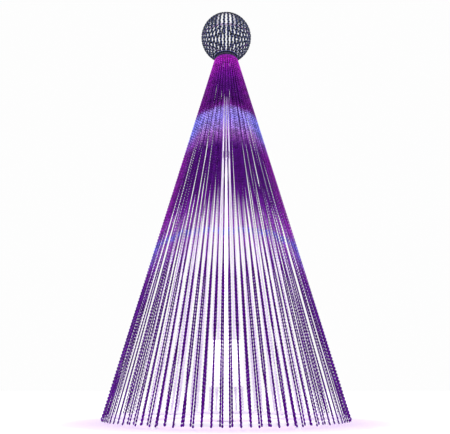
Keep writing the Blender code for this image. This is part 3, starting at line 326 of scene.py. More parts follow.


# The inner side of the strings: pale, with a painted violet light where the strings come together and low
# down at the tree's outline, and a painted glow, stronger near the middle. The tape and the backs of the
# beads each have their two pale colours, their painted violet and their painted glow
stringBack = {
    "whiteTapePaintedLight": dict(low=(240, 228, 250), high=(250, 244, 254), violet=(84, 14, 120), paintedGlow=0.22),
    "lilacBackPaintedLight": dict(low=(132, 68, 178), high=(166, 112, 204), violet=(70, 6, 106), paintedGlow=0.10),
    "roughness": 0.5,
    "specular": 0.1,
    "cloudScale": 12.0,
    "cloudDetail": 3.0,
    "cloudSpan": (0.3, 0.7),
    # the violet is painted light, coming in over these heights
    "paintedVioletLightHeights": (1.62, 1.95),  # the backs turn from pale to violet over these heights
    "middle": (0.024, 0.050),  # but stay pale this near the middle, less so from the first to the second
    "middleRise": 0.80,  # up to this much higher
    "middlePaintedGlow": 0.60,  # and shine this much more
    "middlePaintedGlowHeights": (1.70, 2.00),  # over these heights
    # low down at the tree's outline the backs also take a painted violet light
    "edge": (0.66, 0.76),  # how far out, brought down to the floor, they turn violet
    "paintedOutlineLightHeights": (1.15, 0.85),  # not at all above the first of these heights, in full below the second
    "paintedOutlineLightShare": 0.75,
    "grain": 700.0,
    "bump": 0.2,
    "depth": 0.0001,
}


def stringBackFinish(name):
    values = stringBack[name]
    finish, tree, shader = newFinish(name, stringBack["roughness"], stringBack["specular"])
    where = worldPlace(tree)
    cloud = noise(tree, where, stringBack["cloudScale"], stringBack["cloudDetail"])
    parts = node(tree, "SeparateXYZ", None, Vector=where)
    aside, height = maths(tree, "ABSOLUTE", parts.outputs[0]), parts.outputs[2]
    middle = between(tree, aside, *stringBack["middle"], stringBack["middleRise"], 0.0)
    wave = maths(tree, "MULTIPLY", cloud, 2 * show["wave"])
    level = maths(tree, "ADD", maths(tree, "ADD", height, aside), wave)
    share = between(tree, maths(tree, "SUBTRACT", level, middle), *stringBack["paintedVioletLightHeights"])
    edge = between(tree, farOut(tree, parts), *stringBack["edge"])
    below = between(tree, height, *stringBack["paintedOutlineLightHeights"], 0.0, stringBack["paintedOutlineLightShare"])
    share = maths(tree, "MAXIMUM", share, maths(tree, "MULTIPLY", edge, below))
    pale = cloudRamp(tree, cloud, stringBack["cloudSpan"], values["low"], values["high"])
    colour = mixColour(tree, share, pale, shade(*values["violet"]))
    tree.links.new(colour, shader.inputs["Base Color"])
    # painted glow: the back gives off its own colour as light, more near the middle
    tree.links.new(colour, shader.inputs["Emission Color"])
    most = stringBack["middlePaintedGlow"] / stringBack["middleRise"]
    paintedGlowExtra = maths(tree, "MULTIPLY", middle,
                  between(tree, height, *stringBack["middlePaintedGlowHeights"], 0.0, most))
    tree.links.new(maths(tree, "ADD", paintedGlowExtra, values["paintedGlow"]), shader.inputs["Emission Strength"])
    bump(tree, shader, noise(tree, where, stringBack["grain"]), stringBack["bump"], stringBack["depth"])
    return finish


ballDot = {
    "roughness": 0.4,
    "specular": 0.12,
    "sparkle": 0.75,
    "cloud": 0.45,
    "cloudScale": 16.0,
    "levels": [(0.20, shade(0, 8, 10)), (0.50, shade(0, 2, 14)), (0.80, shade(6, 8, 34)),
               (0.97, shade(30, 28, 80))],
}


def ballDotFinish(name):
    finish, tree, shader = newFinish(name, ballDot["roughness"], ballDot["specular"])
    where = ownPlace(tree)
    tone = node(tree, "Attribute", {"attribute_name": "tone"}).outputs["Fac"]
    cloud = noise(tree, where, ballDot["cloudScale"])
    level = maths(tree, "ADD", maths(tree, "MULTIPLY", tone, ballDot["sparkle"]),
                  maths(tree, "MULTIPLY", cloud, ballDot["cloud"]))
    tree.links.new(ramp(tree, level, ballDot["levels"]), shader.inputs["Base Color"])
    return finish


# The outer and the inner side of the ball's ribs, and the backs of their dots
ballStrips = {
    "slateStrip": ((66, 80, 124), (98, 102, 152)),
    "paleStrip": ((88, 90, 108), (118, 116, 134)),
    "plumBackDot": ((40, 38, 54), (80, 66, 88)),
    "roughness": 0.5,
    "specular": 0.1,
    "cloudScale": 24.0,
    "cloudDetail": 3.0,
    "cloudSpan": (0.3, 0.7),
}


def ballStripFinish(name):
    finish, tree, shader = newFinish(name, ballStrips["roughness"], ballStrips["specular"])
    cloud = noise(tree, ownPlace(tree), ballStrips["cloudScale"], ballStrips["cloudDetail"])
    colour = cloudRamp(tree, cloud, ballStrips["cloudSpan"], *ballStrips[name])
    tree.links.new(colour, shader.inputs["Base Color"])
    return finish


bowl = {
    "roughness": 0.45,
    "specular": 0.15,
    "colour": (18, 16, 44),
    "dotScale": 78.0,
    "dotWander": 0.35,
    "dots": [(0.34, shade(16, 16, 40)), (0.50, shade(92, 94, 118))],
    "dottedFrom": (2.819, 2.821),
}


def bowlFinish(name):
    # dark, with a dotted upper part as on the ribs
    finish, tree, shader = newFinish(name, bowl["roughness"], bowl["specular"])
    where = ownPlace(tree)
    cells = node(tree, "TexVoronoi", {"feature": "F1"}, Vector=where, Scale=bowl["dotScale"],
                 Randomness=bowl["dotWander"])
    dots = ramp(tree, cells.outputs["Distance"], bowl["dots"])
    height = node(tree, "SeparateXYZ", None, Vector=where).outputs[2]
    colour = mixColour(tree, between(tree, height, *bowl["dottedFrom"]), shade(*bowl["colour"]), dots)
    tree.links.new(colour, shader.inputs["Base Color"])
    return finish


finishes = {name: coat(name, values) for name, values in coats.items()}
for name, make in (
    ("violetBead", beadFinish), ("violetTape", tapeFrontFinish),
    ("whiteTapePaintedLight", stringBackFinish), ("lilacBackPaintedLight", stringBackFinish),
    ("navyDot", ballDotFinish), ("dottedBowl", bowlFinish),
    ("slateStrip", ballStripFinish), ("paleStrip", ballStripFinish), ("plumBackDot", ballStripFinish),
):
    finishes[name] = make(name)
print("finishes made:", len(finishes))

# Edges stay sharp where their faces turn by more than this, in degrees
sharpFrom = {"header": 40, "tail": 40, "tape": 30, "bead": 60, "rib": 40, "kept": 38}


def newPiece(name, shape, turn, body, *finishNames):
    # a copy of a shape, turned about the mast's axis
    mesh = shape.copy()
    mesh.transform(Matrix.Rotation(turn, 4, "Z"))
    for finishName in finishNames:
        mesh.materials.append(finishes[finishName])
    piece = bpy.data.objects.new(name, mesh)
    bpy.context.scene.collection.objects.link(piece)
    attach(piece, body)
    return piece


def meshFrom(name, vertices, faces, slots=None):
    mesh = bpy.data.meshes.new(name)
    mesh.from_pydata(vertices, [], faces)
    if slots:
        mesh.polygons.foreach_set("material_index", slots)
    mesh.update()
    return mesh


def sharpen(mesh, degrees):
    mesh.shade_smooth()
    mesh.set_sharp_from_angle(angle=math.radians(degrees))


def around(radius, height, azimuth):
    # azimuth is counted from the front, -Y, towards +X
    return Vector((radius * math.sin(azimuth), -radius * math.cos(azimuth), height))


def evenly(half, steps):
    # angles from -half to half
    return [half * (2 * i / steps - 1) for i in range(steps + 1)]


def sweep(vertices, faces, section, azimuths):
    # a closed (radius, height) section carried round the mast's axis, with an end on each side
    first, count = len(vertices), len(section)
    for azimuth in azimuths:
        vertices.extend(around(radius, height, azimuth) for radius, height in section)
    for i in range(len(azimuths) - 1):
        for j in range(count):
            low, high, after = first + i * count, first + (i + 1) * count, (j + 1) % count
            faces.append((low + j, high + j, high + after, low + after))
    faces.append(tuple(first + j for j in range(count)))
    last = first + (len(azimuths) - 1) * count
    faces.append(tuple(last + j for j in reversed(range(count))))


def bar(vertices, faces, corners, start, end, across, out):
    # a straight bar: corners are (across, out) offsets of its section
    first, count = len(vertices), len(corners)
    for middle in (start, end):
        vertices.extend(middle + across * x + out * y for x, y in corners)
    for j in range(count):
        after = (j + 1) % count
        faces.append((first + j, first + after, first + count + after, first + count + j))
    faces.append(tuple(first + j for j in reversed(range(count))))
    faces.append(tuple(first + count + j for j in range(count)))


def ribbon(vertices, faces, slots, section, slotsRound, middles, across, out):
    # a section of (across, out) offsets carried along a line. Its two ends take slot 1
    first, count = len(vertices), len(section)
    for middle in middles:
        vertices.extend(middle + across * x + out * y for x, y in section)
    for i in range(len(middles) - 1):
        for j in range(count):
            low, high, after = first + i * count, first + (i + 1) * count, (j + 1) % count
            faces.append((low + j, low + after, high + after, high + j))
            slots.append(slotsRound[j])
    faces.append(tuple(first + j for j in reversed(range(count))))
    last = first + (len(middles) - 1) * count
    faces.append(tuple(last + j for j in range(count)))
    slots.extend((1, 1))


def domeShape(wide, long, low, high, sides, rings):
    # a closed bead about its own origin: across, along and out. rings are (share of width, share of height)
    places, faces = [], []
    for share, rise in rings:
        for j in range(sides):
            angle = fullTurn * (j + 0.5) / sides
            level = low + (high - low) * rise
            places.append((share * wide * math.cos(angle), share * long * math.sin(angle), level))
    places.append((0, 0, high))
    for i in range(len(rings) - 1):
        for j in range(sides):
            under, over, after = i * sides, (i + 1) * sides, (j + 1) % sides
            faces.append((under + j, under + after, over + after, over + j))
    top = (len(rings) - 1) * sides
    faces.extend((top + j, top + (j + 1) % sides, len(places) - 1) for j in range(sides))
    faces.append(tuple(reversed(range(sides))))
    return np.array(places), faces


def stamp(name, shape, middles, frames, scales=None, baseSlot=0):
    # one mesh with the shape at each middle. A frame's rows are the directions across, along and out. The
    # shape's last face is its base
    places, faces = shape
    middles, frames = np.array(middles), np.array(frames)
    count = len(middles)
    scales = np.ones((count, 3)) if scales is None else np.array(scales)
    spread = places[None, :, :] * scales[:, None, :]
    points = middles[:, None, :] + np.einsum("mvk,mkc->mvc", spread, frames)
    sizes = np.array([len(face) for face in faces])
    corners = np.concatenate([np.array(face) for face in faces])
    corners = (corners[None, :] + np.arange(count)[:, None] * len(places)).ravel()
    sizes = np.tile(sizes, count)
    mesh = bpy.data.meshes.new(name)
    mesh.vertices.add(count * len(places))
    mesh.vertices.foreach_set("co", points.astype(np.float32).ravel())
    mesh.loops.add(len(corners))
    mesh.loops.foreach_set("vertex_index", corners.astype(np.int32))
    mesh.polygons.add(len(sizes))
    mesh.polygons.foreach_set("loop_start", (np.cumsum(sizes) - sizes).astype(np.int32))
    if baseSlot:
        slots = np.zeros(len(faces), dtype=np.int32)
        slots[-1] = baseSlot
        mesh.polygons.foreach_set("material_index", np.tile(slots, count))
    mesh.update(calc_edges=True)
    sharpen(mesh, sharpFrom["bead"])
    return mesh


def setLensPaintedHighlight(mesh, shape, count):
    # from 0 at a bead's foot to 1 on its lens, where the painted highlight is
    heights = shape[0][:, 2]
    layer = mesh.attributes.new("lens", "FLOAT", "POINT")
    layer.data.foreach_set("value", np.tile(heights / heights.max(), count).astype(np.float32))


def setTone(mesh, tones):
    # one value for each bead, held by all its vertices
    each = len(mesh.vertices) // len(tones)
    layer = mesh.attributes.new("tone", "FLOAT", "POINT")
    layer.data.foreach_set("value", np.repeat(np.array(tones, dtype=np.float32), each))


# The strings, their headers and their tail rails. The string sizes are those of the CAD model
strings = {
    "foot": 0.0183,
    "top": 2.8103,
    "footRadius": 0.850,
    "topRadius": 0.0952,
    "depth": 0.012,
    "panels": 12,
    "perPanel": 8,
    "innerDrop": 0.045,  # every second string hangs under the header and starts this much lower
    "gatherDrop": 2.700,  # the drop over which a string's two rows spread from its head
}
header = {
    "wall": 0.0047,
    "gap": 0.0004,
    "height": 0.080,
    "lip": 0.015,
    "gapDegrees": 0.7,
    "studWidth": 0.005,
    "studHeight": 0.015,
    "steps": 16,
}
tail = {
    "wall": 0.0025,
    "rise": 0.016,
    "lip": 0.016,
    "bite": 0.001,  # how deep it is set into the strings' backs
    "endDegrees": 1.4,
    "footRise": 0.00125,
    "steps": 24,
}

slope = math.atan((strings["footRadius"] - strings["topRadius"]) / (strings["top"] - strings["foot"]))
lean = 1 / math.cos(slope)
layerStep = strings["depth"] + header["wall"] + 2 * header["gap"]
panelArc = fullTurn / strings["panels"]
stringArc = panelArc / strings["perPanel"]
headerFoot = strings["top"] - header["height"]
cornerLimit = 0.3  # keeps a bent wall from running far out at a sharp corner


def outerLine(height):
    face = (strings["top"] - height) * math.tan(slope) + strings["topRadius"]
    return face - strings["depth"] / 2 * lean


innerSpan = outerLine(strings["foot"]) - outerLine(headerFoot) + layerStep * lean
innerSlope = innerSpan / (headerFoot - strings["foot"])


def innerLine(height):
    return outerLine(strings["foot"]) - (height - strings["foot"]) * innerSlope


def headerLine(height):
    return outerLine(height) - layerStep / 2 * lean


def tailLine(height):
    return outerLine(height) - (strings["depth"] / 2 + tail["wall"] / 2 - tail["bite"]) * lean


def thickLine(points, wall):
    # a closed section: an open line of (radius, height) points with a wall to it
    sides = ([], [])
    for i, (radius, height) in enumerate(points):
        before = Vector(points[max(i - 1, 0)])
        after = Vector(points[min(i + 1, len(points) - 1)])
        here = Vector((radius, height))
        one = (here - before).normalized() if i else (after - here).normalized()
        two = (after - here).normalized() if i < len(points) - 1 else one
        normal = Vector((-(one + two).y, (one + two).x)).normalized()
        reach = wall / 2 / max(normal.dot(Vector((-one.y, one.x))), cornerLimit)
        sides[0].append(here + normal * reach)
        sides[1].append(here - normal * reach)
    return sides[0] + list(reversed(sides[1]))


def panelStrings():
    # for each string of the front panel: its line, top, azimuth and the directions across, out and up
    made = []
    for i in range(strings["perPanel"]):
        azimuth = (i + 0.5) * stringArc - panelArc / 2
        line = outerLine if i % 2 == 0 else innerLine
        top = strings["top"] if i % 2 == 0 else strings["top"] - strings["innerDrop"]
        foot = around(line(strings["foot"]), strings["foot"], azimuth)
        up = (around(line(top), top, azimuth) - foot).normalized()
        across = Vector((math.cos(azimuth), math.sin(azimuth), 0))
        made.append((line, top, azimuth, across, across.cross(up).normalized(), up))
    return made


def headerMesh():
    # a curved plate with a lip over the carrier, and a stud to each string
    lipHeight = strings["top"] - header["wall"] / 2
    line = [
        (headerLine(lipHeight) - header["lip"], lipHeight),
        (headerLine(lipHeight), lipHeight),
        (headerLine(headerFoot), headerFoot),
    ]
    half = (panelArc - math.radians(header["gapDegrees"])) / 2
    vertices, faces = [], []
    sweep(vertices, faces, thickLine(line, header["wall"]), evenly(half, header["steps"]))
    for stringLine, top, azimuth, across, out, up in panelStrings():
        height = (top + headerFoot) / 2
        far, near = stringLine(height), headerLine(height)
        middle = around((far + near) / 2, height, azimuth)
        rise = Vector((0, 0, header["studHeight"] / 2))
        wide, deep = header["studWidth"] / 2, abs(far - near) / 2
        corners = [(-wide, -deep), (wide, -deep), (wide, deep), (-wide, deep)]
        bar(vertices, faces, corners, middle - rise, middle + rise, across, around(1, 0, azimuth))
    mesh = meshFrom("header", vertices, faces)
    sharpen(mesh, sharpFrom["header"])
    return mesh


def tailMesh():
    # a curved rail behind the strings' feet, with a lip inwards
    low = strings["foot"] + tail["footRise"]
    high = low + tail["rise"]
    line = [(tailLine(high), high), (tailLine(low), low), (tailLine(low) - tail["lip"], low)]
    half = panelArc / 2 - math.radians(tail["endDegrees"])
    vertices, faces = [], []
    sweep(vertices, faces, thickLine(line, tail["wall"]), evenly(half, tail["steps"]))
    mesh = meshFrom("tailRail", vertices, faces)
    sharpen(mesh, sharpFrom["tail"])
    return mesh


# A string's two rows, one over the other. Four heights are where a change begins, is full, and ends again
row = {
    "pitch": 0.0217,  # level to level
    "halfWidth": 0.0066,
    "headHalfWidth": 0.0045,
    "halfLength": 0.0088,
    "sides": 8,
    "rings": [(1.0, 0.0), (1.0, 0.35), (0.66, 0.88)],
    "tapeHalf": 0.0044,
    "tapeWall": 0.0008,
    "tapeChamferShare": 1 / 3,  # of its wall
    "tapeSteps": 48,
    "aside": 0.0064,  # from a string's middle to the middle of each row
    "slowSwings": (0.35, 0.85),  # how often a row swings from side to side over a string's length
    "fastSwings": (1.7, 2.9),
    "fastShare": 0.3,
    "swingGain": 4,  # how quickly it goes from one side to the other
    "sideStart": 0.5,  # the strings at the sides are those further out than this: 0 is the middle, 1 the side
    "spread": 0.0032,  # how much further apart the rows are in the upper half
    "spreadHeights": (1.42, 1.70, 2.45, 2.62),
    "sideSpread": 0.0046,  # and on the strings at the sides
    "sideHeights": (1.20, 1.42, 2.45, 2.62),
    "spreadWider": 0.20,  # how much wider the beads are there
    "pinchSide": 0.72,  # the strings nearer to the middle than this are thinner
    "pinchHeights": (0.90, 1.04, 1.42, 1.60),  # over these heights
    "pinch": 0.72,  # by this much closer rows
    "pinchNarrow": 0.24,  # and this much narrower beads
    "middle": 0.13,  # the strings nearer to the middle than this spread only
    "middleHeights": (2.36, 2.42),  # from these heights up
    "middleNarrow": 0.2,  # and have narrower beads
    "narrowHeights": (1.00, 1.35, 2.34, 2.36),  # over these heights
    "beat": 0.85,  # the height over which the two rows fall out of step and into it again
    "beatSwing": 0.7,  # how much earlier or later that happens from string to string
    "beatTurns": (1.7, 2.9),
    "seed": 7,
    "seedSteps": (1000, 10),  # from panel to panel, and from string to string
}
# Where the back of each row's tape is, from the string's middle outwards. The beads of the row over the other
# reach the string's front
tapeBacks = {"under": -strings["depth"] / 2, "over": -0.0002}


def within(height, first, second, third, fourth):
    # 0 below the first height, 1 between the second and the third, and 0 again from the fourth
    return max(0.0, min(1.0, (height - first) / (second - first), (fourth - height) / (fourth - third)))


def spreading(height, aside):
    # from 0 to 1, how far the rows of a string are spread at a height
    first, second, third, fourth = row["sideHeights"] if aside > row["sideStart"] else row["spreadHeights"]
    if aside < row["middle"]:
        first, second = row["middleHeights"]
    return within(height, first, second, third, fourth)


def pinching(height, aside):
    return within(height, *row["pinchHeights"]) if aside < row["pinchSide"] else 0.0


def opening(drop):
    # from 0 at a string's head to 1 where its two rows stand fully apart
    return min(1.0, max(0.0, drop / strings["gatherDrop"]))


def beadWidth(height, drop, aside):
    # as a share of a full bead
    head = row["headHalfWidth"] / row["halfWidth"]
    width = head + (1 - head) * opening(drop)
    width *= 1 + row["spreadWider"] * spreading(height, aside)
    width *= 1 - row["pinchNarrow"] * pinching(height, aside)
    if aside < row["middle"]:
        width *= 1 - row["middleNarrow"] * within(height, *row["narrowHeights"])
    return width


def mirrorOf(panel, i):
    # the same key for a string and for the one opposite it on the other side of the tree
    mirror = (strings["panels"] - 1 - panel, strings["perPanel"] - 1 - i)
    return min((panel, i), mirror), (panel, i) <= mirror


def fromMiddle(key):
    # how far to the side a string stands: 0 in the middle of the front and the back, 1 at the sides
    return abs(math.sin((key[0] * strings["perPanel"] + key[1] + 0.5) * stringArc))


def wander(panel, i, which):
    # how far a row stands to the side of its string, by the height. The two rows swap sides at a few heights.
    # The left and the right of the tree mirror each other
    key, isLeft = mirrorOf(panel, i)
    side = 1 if isLeft else -1
    other = -1 if which else 1
    source = random.Random(row["seed"] + row["seedSteps"][0] * key[0] + row["seedSteps"][1] * key[1])
    slow, fast = source.uniform(*row["slowSwings"]), source.uniform(*row["fastSwings"])
    slowStart, fastStart = source.uniform(0, fullTurn), source.uniform(0, fullTurn)
    aside = fromMiddle(key)
    spread = row["sideSpread"] if aside > row["sideStart"] else row["spread"]

    def offset(height):
        share = (height - strings["foot"]) / (strings["top"] - strings["foot"])
        slowSwing = math.sin(fullTurn * slow * share + slowStart)
        fastSwing = math.sin(fullTurn * fast * share + fastStart)
        swing = max(-1.0, min(1.0, row["swingGain"] * (slowSwing + row["fastShare"] * fastSwing)))
        opened = opening(strings["top"] - strings["innerDrop"] - height)
        opened *= 1 - row["pinch"] * pinching(height, aside)
        return side * other * (opened * row["aside"] + spread * spreading(height, aside)) * swing

    return offset


def rowHeights(top, layer, panel, i):
    # the beads over the tape stand level from string to string. Those under them are level with them at some
    # heights and half a pitch off at others
    count = int((top - strings["foot"]) / row["pitch"])
    heights = [strings["foot"] + (k + 0.5) * row["pitch"] for k in range(count)]
    if layer == "over":
        return heights
    key = mirrorOf(panel, i)[0]
    start = row["beatSwing"] * math.sin(row["beatTurns"][0] * key[0] + row["beatTurns"][1] * key[1])
    return [z - row["pitch"] / 4 * (1 + math.sin(fullTurn * z / row["beat"] + start)) for z in heights]


def makePanel(panel):
    # eight strings, each with two tapes and two rows of beads, and their header and tail rail
    vertices, faces, slots, middles, frames, scales = [], [], [], [], [], []
    half, wall = row["tapeHalf"], row["tapeWall"]
    chamfer = wall * row["tapeChamferShare"]
    for i, (line, top, azimuth, across, out, up) in enumerate(panelStrings()):
        aside = fromMiddle(mirrorOf(panel, i)[0])
        heights = [strings["foot"] + (top - strings["foot"]) * j / row["tapeSteps"]
                   for j in range(row["tapeSteps"] + 1)]
        for which, (layer, back) in enumerate(tapeBacks.items()):
            offset = wander(panel, i, which)
            path = [around(line(z), z, azimuth) + across * offset(z) for z in heights]
            section = [(-half + chamfer, back), (half - chamfer, back), (half, back + chamfer),
                       (half, back + wall), (-half, back + wall), (-half, back + chamfer)]
            ribbon(vertices, faces, slots, section, (0, 1, 1, 1, 1, 1), path, across, out)
            for height in rowHeights(top, layer, panel, i):
                middle = around(line(height), height, azimuth) + across * offset(height)
                middles.append(middle + out * (back + wall / 2))
                frames.append((across, up, out))
                scales.append((beadWidth(height, top - height, aside), 1, 1))
    tapes = meshFrom("tapes", vertices, faces, slots)
    sharpen(tapes, sharpFrom["tape"])
    tall = strings["depth"] / 2 - tapeBacks["over"] - wall / 2
    shape = domeShape(row["halfWidth"], row["halfLength"], 0, tall, row["sides"], row["rings"])
    beads = stamp("beads", shape, middles, frames, scales, 1)
    setLensPaintedHighlight(beads, shape, len(middles))
    source = random.Random(row["seed"] + panel)
    setTone(beads, [source.random() for _ in middles])
    number = f"{panel + 1:02d}"
    angle = (panel + 0.5) * panelArc
    made = [
        newPiece(f"header_{number}", headerShape, angle, "tree", "headerViolet"),
        newPiece(f"tailRail_{number}", tailShape, angle, "tree", "whiteMouldedPlastic"),
        newPiece(f"tapes_{number}", tapes, angle, "tree", "whiteTapePaintedLight", "violetTape"),
        newPiece(f"beads_{number}", beads, angle, "tree", "violetBead", "lilacBackPaintedLight"),
    ]
    for piece in made:
        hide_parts(f"led_panel_{number}")
    return len(middles)


headerShape, tailShape = headerMesh(), tailMesh()
beadCount = sum(makePanel(panel) for panel in range(strings["panels"]))
print("strings made:", strings["panels"] * strings["perPanel"], "pairs of rows,", beadCount, "beads")

# The ball's ribs. Latitudes and arcs are in degrees, gaps in radians
ball = {
    "centre": 3.016685,
    "radius": 0.2066,
    "ribDepth": 0.0066,
    "stripThickness": 0.0022,
    "ribArc": 4.8,  # of the strip that carries the dots
    "ribs": 36,
    "ribSteps": 32,
    "sectors": 4,
    "sectorGap": 0.0035,  # at each end of a sector's bands
    "endLatitude": 65.0,
    "bandLatitude": 61.0,
    "bandSteps": 18,
    "rowPitch": 0.0420,  # of the dots on one side of a rib. Those on the other side stand between them
    "rowEndGap": 0.012,
    "dotHalfWidth": 0.0092,
    "dotHalfLength": 0.0076,
    "dotOffset": 0.0040,
    "dotSink": 0.0002,
    "dotSides": 10,
    "dotRings": [(1.0, 0.0), (1.0, 0.3), (0.8, 0.75), (0.4, 0.96)],
    "poleDot": 0.62,  # the size that the dots would come down to at the poles
    "backDotRadius": 0.0056,
    "backDotHeights": (-0.0002, 0.0006),
    "backDotSides": 8,
    "backDotRings": [(1.0, 0.0), (1.0, 0.6)],
    "seed": 300,
}


def onBall(radius, latitude, azimuth):
    # a point of the ball, its latitude and azimuth in radians
    return around(radius * math.cos(latitude), ball["centre"] + radius * math.sin(latitude), azimuth)


def ballStrip(vertices, faces, slots, latitudes, azimuths, inner, outer):
    # a curved plate between two radii, on a grid of latitudes and azimuths. Its inner side takes slot 0
    first, rows, columns = len(vertices), len(latitudes), len(azimuths)
    for radius in (inner, outer):
        for latitude in latitudes:
            vertices.extend(onBall(radius, latitude, azimuth) for azimuth in azimuths)
    layer = rows * columns

    def at(level, i, j):
        return first + level * layer + i * columns + j

    for i in range(rows - 1):
        for j in range(columns - 1):
            faces.append((at(0, i, j), at(0, i + 1, j), at(0, i + 1, j + 1), at(0, i, j + 1)))
            faces.append((at(1, i, j), at(1, i, j + 1), at(1, i + 1, j + 1), at(1, i + 1, j)))
            slots.extend((0, 1))
    for i in range(rows - 1):
        last = columns - 1
        faces.append((at(0, i, 0), at(1, i, 0), at(1, i + 1, 0), at(0, i + 1, 0)))
        faces.append((at(0, i, last), at(0, i + 1, last), at(1, i + 1, last), at(1, i, last)))
    for j in range(columns - 1):
        last = rows - 1
        faces.append((at(0, 0, j), at(0, 0, j + 1), at(1, 0, j + 1), at(1, 0, j)))
        faces.append((at(0, last, j), at(1, last, j), at(1, last, j + 1), at(0, last, j + 1)))
    slots.extend([1] * (len(faces) - len(slots)))


def dotFrames(azimuths):
    # for each dot on a sector's ribs: its latitude and azimuth, and the directions across, up and out
    end = math.radians(ball["endLatitude"])
    rowStep = ball["rowPitch"] / ball["radius"]
    rows = int(end / rowStep * 2)
    made = []
    for azimuth in azimuths:
        for k in range(-rows, rows + 1):
            latitude = k * rowStep / 2
            if abs(latitude) > end - ball["rowEndGap"]:
                continue
            aside = azimuth + (1 if k % 2 else -1) * ball["dotOffset"] / ball["radius"]
            across = Vector((math.cos(aside), math.sin(aside), 0))
            out = onBall(1, latitude, aside) - Vector((0, 0, ball["centre"]))
            made.append((latitude, aside, across, out.cross(across).normalized(), out))
    return made


def makeSector(number):
    # nine ribs between two bands, with their dots and the backs of the dots
    inner = ball["radius"] - ball["ribDepth"]
    outer = inner + ball["stripThickness"]
    sectorArc = fullTurn / ball["sectors"]
    ribArc, halfRib = fullTurn / ball["ribs"], math.radians(ball["ribArc"]) / 2
    end, band = math.radians(ball["endLatitude"]), math.radians(ball["bandLatitude"])
    vertices, faces, slots = [], [], []
    for side in (-1, 1):
        latitudes = sorted((side * band, side * (band + end) / 2, side * end))
        azimuths = evenly(sectorArc / 2 - ball["sectorGap"], ball["bandSteps"])
        ballStrip(vertices, faces, slots, latitudes, azimuths, inner, outer)
    ribs = [(i + 0.5) * ribArc - sectorArc / 2 for i in range(ball["ribs"] // ball["sectors"])]
    for azimuth in ribs:
        azimuths = [azimuth - halfRib, azimuth, azimuth + halfRib]
        ballStrip(vertices, faces, slots, evenly(band, ball["ribSteps"]), azimuths, inner, outer)
    strips = meshFrom("ribStrips", vertices, faces, slots)
    sharpen(strips, sharpFrom["rib"])

    places = dotFrames(ribs)
    middles = [onBall(outer - ball["dotSink"], latitude, aside) for latitude, aside, *_ in places]
    frames = [(across, up, out) for *_, across, up, out in places]
    sizes = [ball["poleDot"] + (1 - ball["poleDot"]) * math.cos(latitude) for latitude, *_ in places]
    shape = domeShape(ball["dotHalfWidth"], ball["dotHalfLength"], 0, ball["radius"] - outer,
                      ball["dotSides"], ball["dotRings"])
    dots = stamp("ribDots", shape, middles, frames, [(size, size, 1) for size in sizes])
    source = random.Random(ball["seed"] + number)
    setTone(dots, [source.random() for _ in middles])

    backMiddles = [onBall(inner, latitude, aside) for latitude, aside, *_ in places]
    backFrames = [(across, -up, -out) for across, up, out in frames]
    radius = ball["backDotRadius"]
    shape = domeShape(radius, radius, *ball["backDotHeights"], ball["backDotSides"], ball["backDotRings"])
    backs = stamp("ribBackDots", shape, backMiddles, backFrames)
    turn = (number - 0.5) * sectorArc
    made = [
        newPiece(f"ribStrips_{number}", strips, turn, "ball", "paleStrip", "slateStrip"),
        newPiece(f"ribDots_{number}", dots, turn, "ball", "navyDot"),
        newPiece(f"ribBackDots_{number}", backs, turn, "ball", "plumBackDot"),
    ]
    for piece in made:
        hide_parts(f"ball_sector_{number}")


for number in range(1, ball["sectors"] + 1):
    makeSector(number)
print("ball made")

# The CAD nodes that stay, by finish. A name that ends in _ stands for all that start with it
kept = {
    "whitePowderCoat": ["base_hub", "spoke_", "ring_segment_", "string_carrier", "case_bracket"],
    "mastCoatMorePaintedGlow": ["mast_lower", "mast_middle", "mast_upper"],
    "whiteMouldedPlastic": [
        "ring_tee_", "control_case", "case_door", "mast_collar_", "collar_knob_", "ball_crown",
    ],
    "dottedBowl": ["ball_bowl"],
    "blackMouldedPlastic": ["power_inlet", "switch_housing", "power_switch", "mode_button", "door_latch"],
    "blackRubber": ["mast_lead"],
    "whiteRubber": ["hub_pad"],
    "brushedSteel": ["hinge_pin", "power_supply"],
    "hoopViolet": ["ball_hoop"],
    "boardGreen": ["pixel_controller"],
}
# The width of the softened edges of the larger ones, in metres
softEdges = {
    "control_case": 0.0008,
    "case_door": 0.0012,
    "case_bracket": 0.001,
    "power_supply": 0.0006,
    "base_hub": 0.0012,
    "string_carrier": 0.001,
    "hub_pad": 0.0015,
}
softening = {"segments": 2, "fromDegrees": 40}


def dress(name, obj, finishName):
    obj.data.materials.clear()
    obj.data.materials.append(finishes[finishName])
    sharpen(obj.data, sharpFrom["kept"])
    if name in softEdges:
        edge = obj.modifiers.new("softEdge", "BEVEL")
        edge.width = softEdges[name]
        edge.segments = softening["segments"]
        edge.limit_method = "ANGLE"
        edge.angle_limit = math.radians(softening["fromDegrees"])


for finishName, starts in kept.items():
    for name, obj in nodes.items():
        if any(name == start or (start.endswith("_") and name.startswith(start)) for start in starts):
            dress(name, obj, finishName)
print("CAD nodes dressed")

# Floor, light and camera
studio = {
    "backdrop": 0.985,  # what the camera sees behind the tree
    "fill": 0.95,  # the light that comes from all round
    "floorColour": 0.90,
    "floorLift": 0.36,
    "floorRoughness": 0.9,
    "floorSize": 60.0,
    "glowColour": (0.74, 0.64, 0.80),  # of the floor near the strings, in the light of the show
    "glowStart": 0.86,  # from the mast: up to here the glow is full
    "glowEnd": 1.45,
}


def makeWorld():
    world = bpy.data.worlds.new("studioWorld")
    bpy.context.scene.world = world
    world.use_nodes = True
    tree = world.node_tree
    path = node(tree, "LightPath")
    seen = maths(tree, "MAXIMUM", path.outputs["Is Camera Ray"], path.outputs["Is Glossy Ray"])
    seen = maths(tree, "MAXIMUM", seen, path.outputs["Is Transmission Ray"])
    back = tree.nodes["Background"]
    more = maths(tree, "MULTIPLY", seen, studio["backdrop"] - studio["fill"])
    tree.links.new(maths(tree, "ADD", more, studio["fill"]), back.inputs["Strength"])
    back.inputs["Color"].default_value = (1, 1, 1, 1)


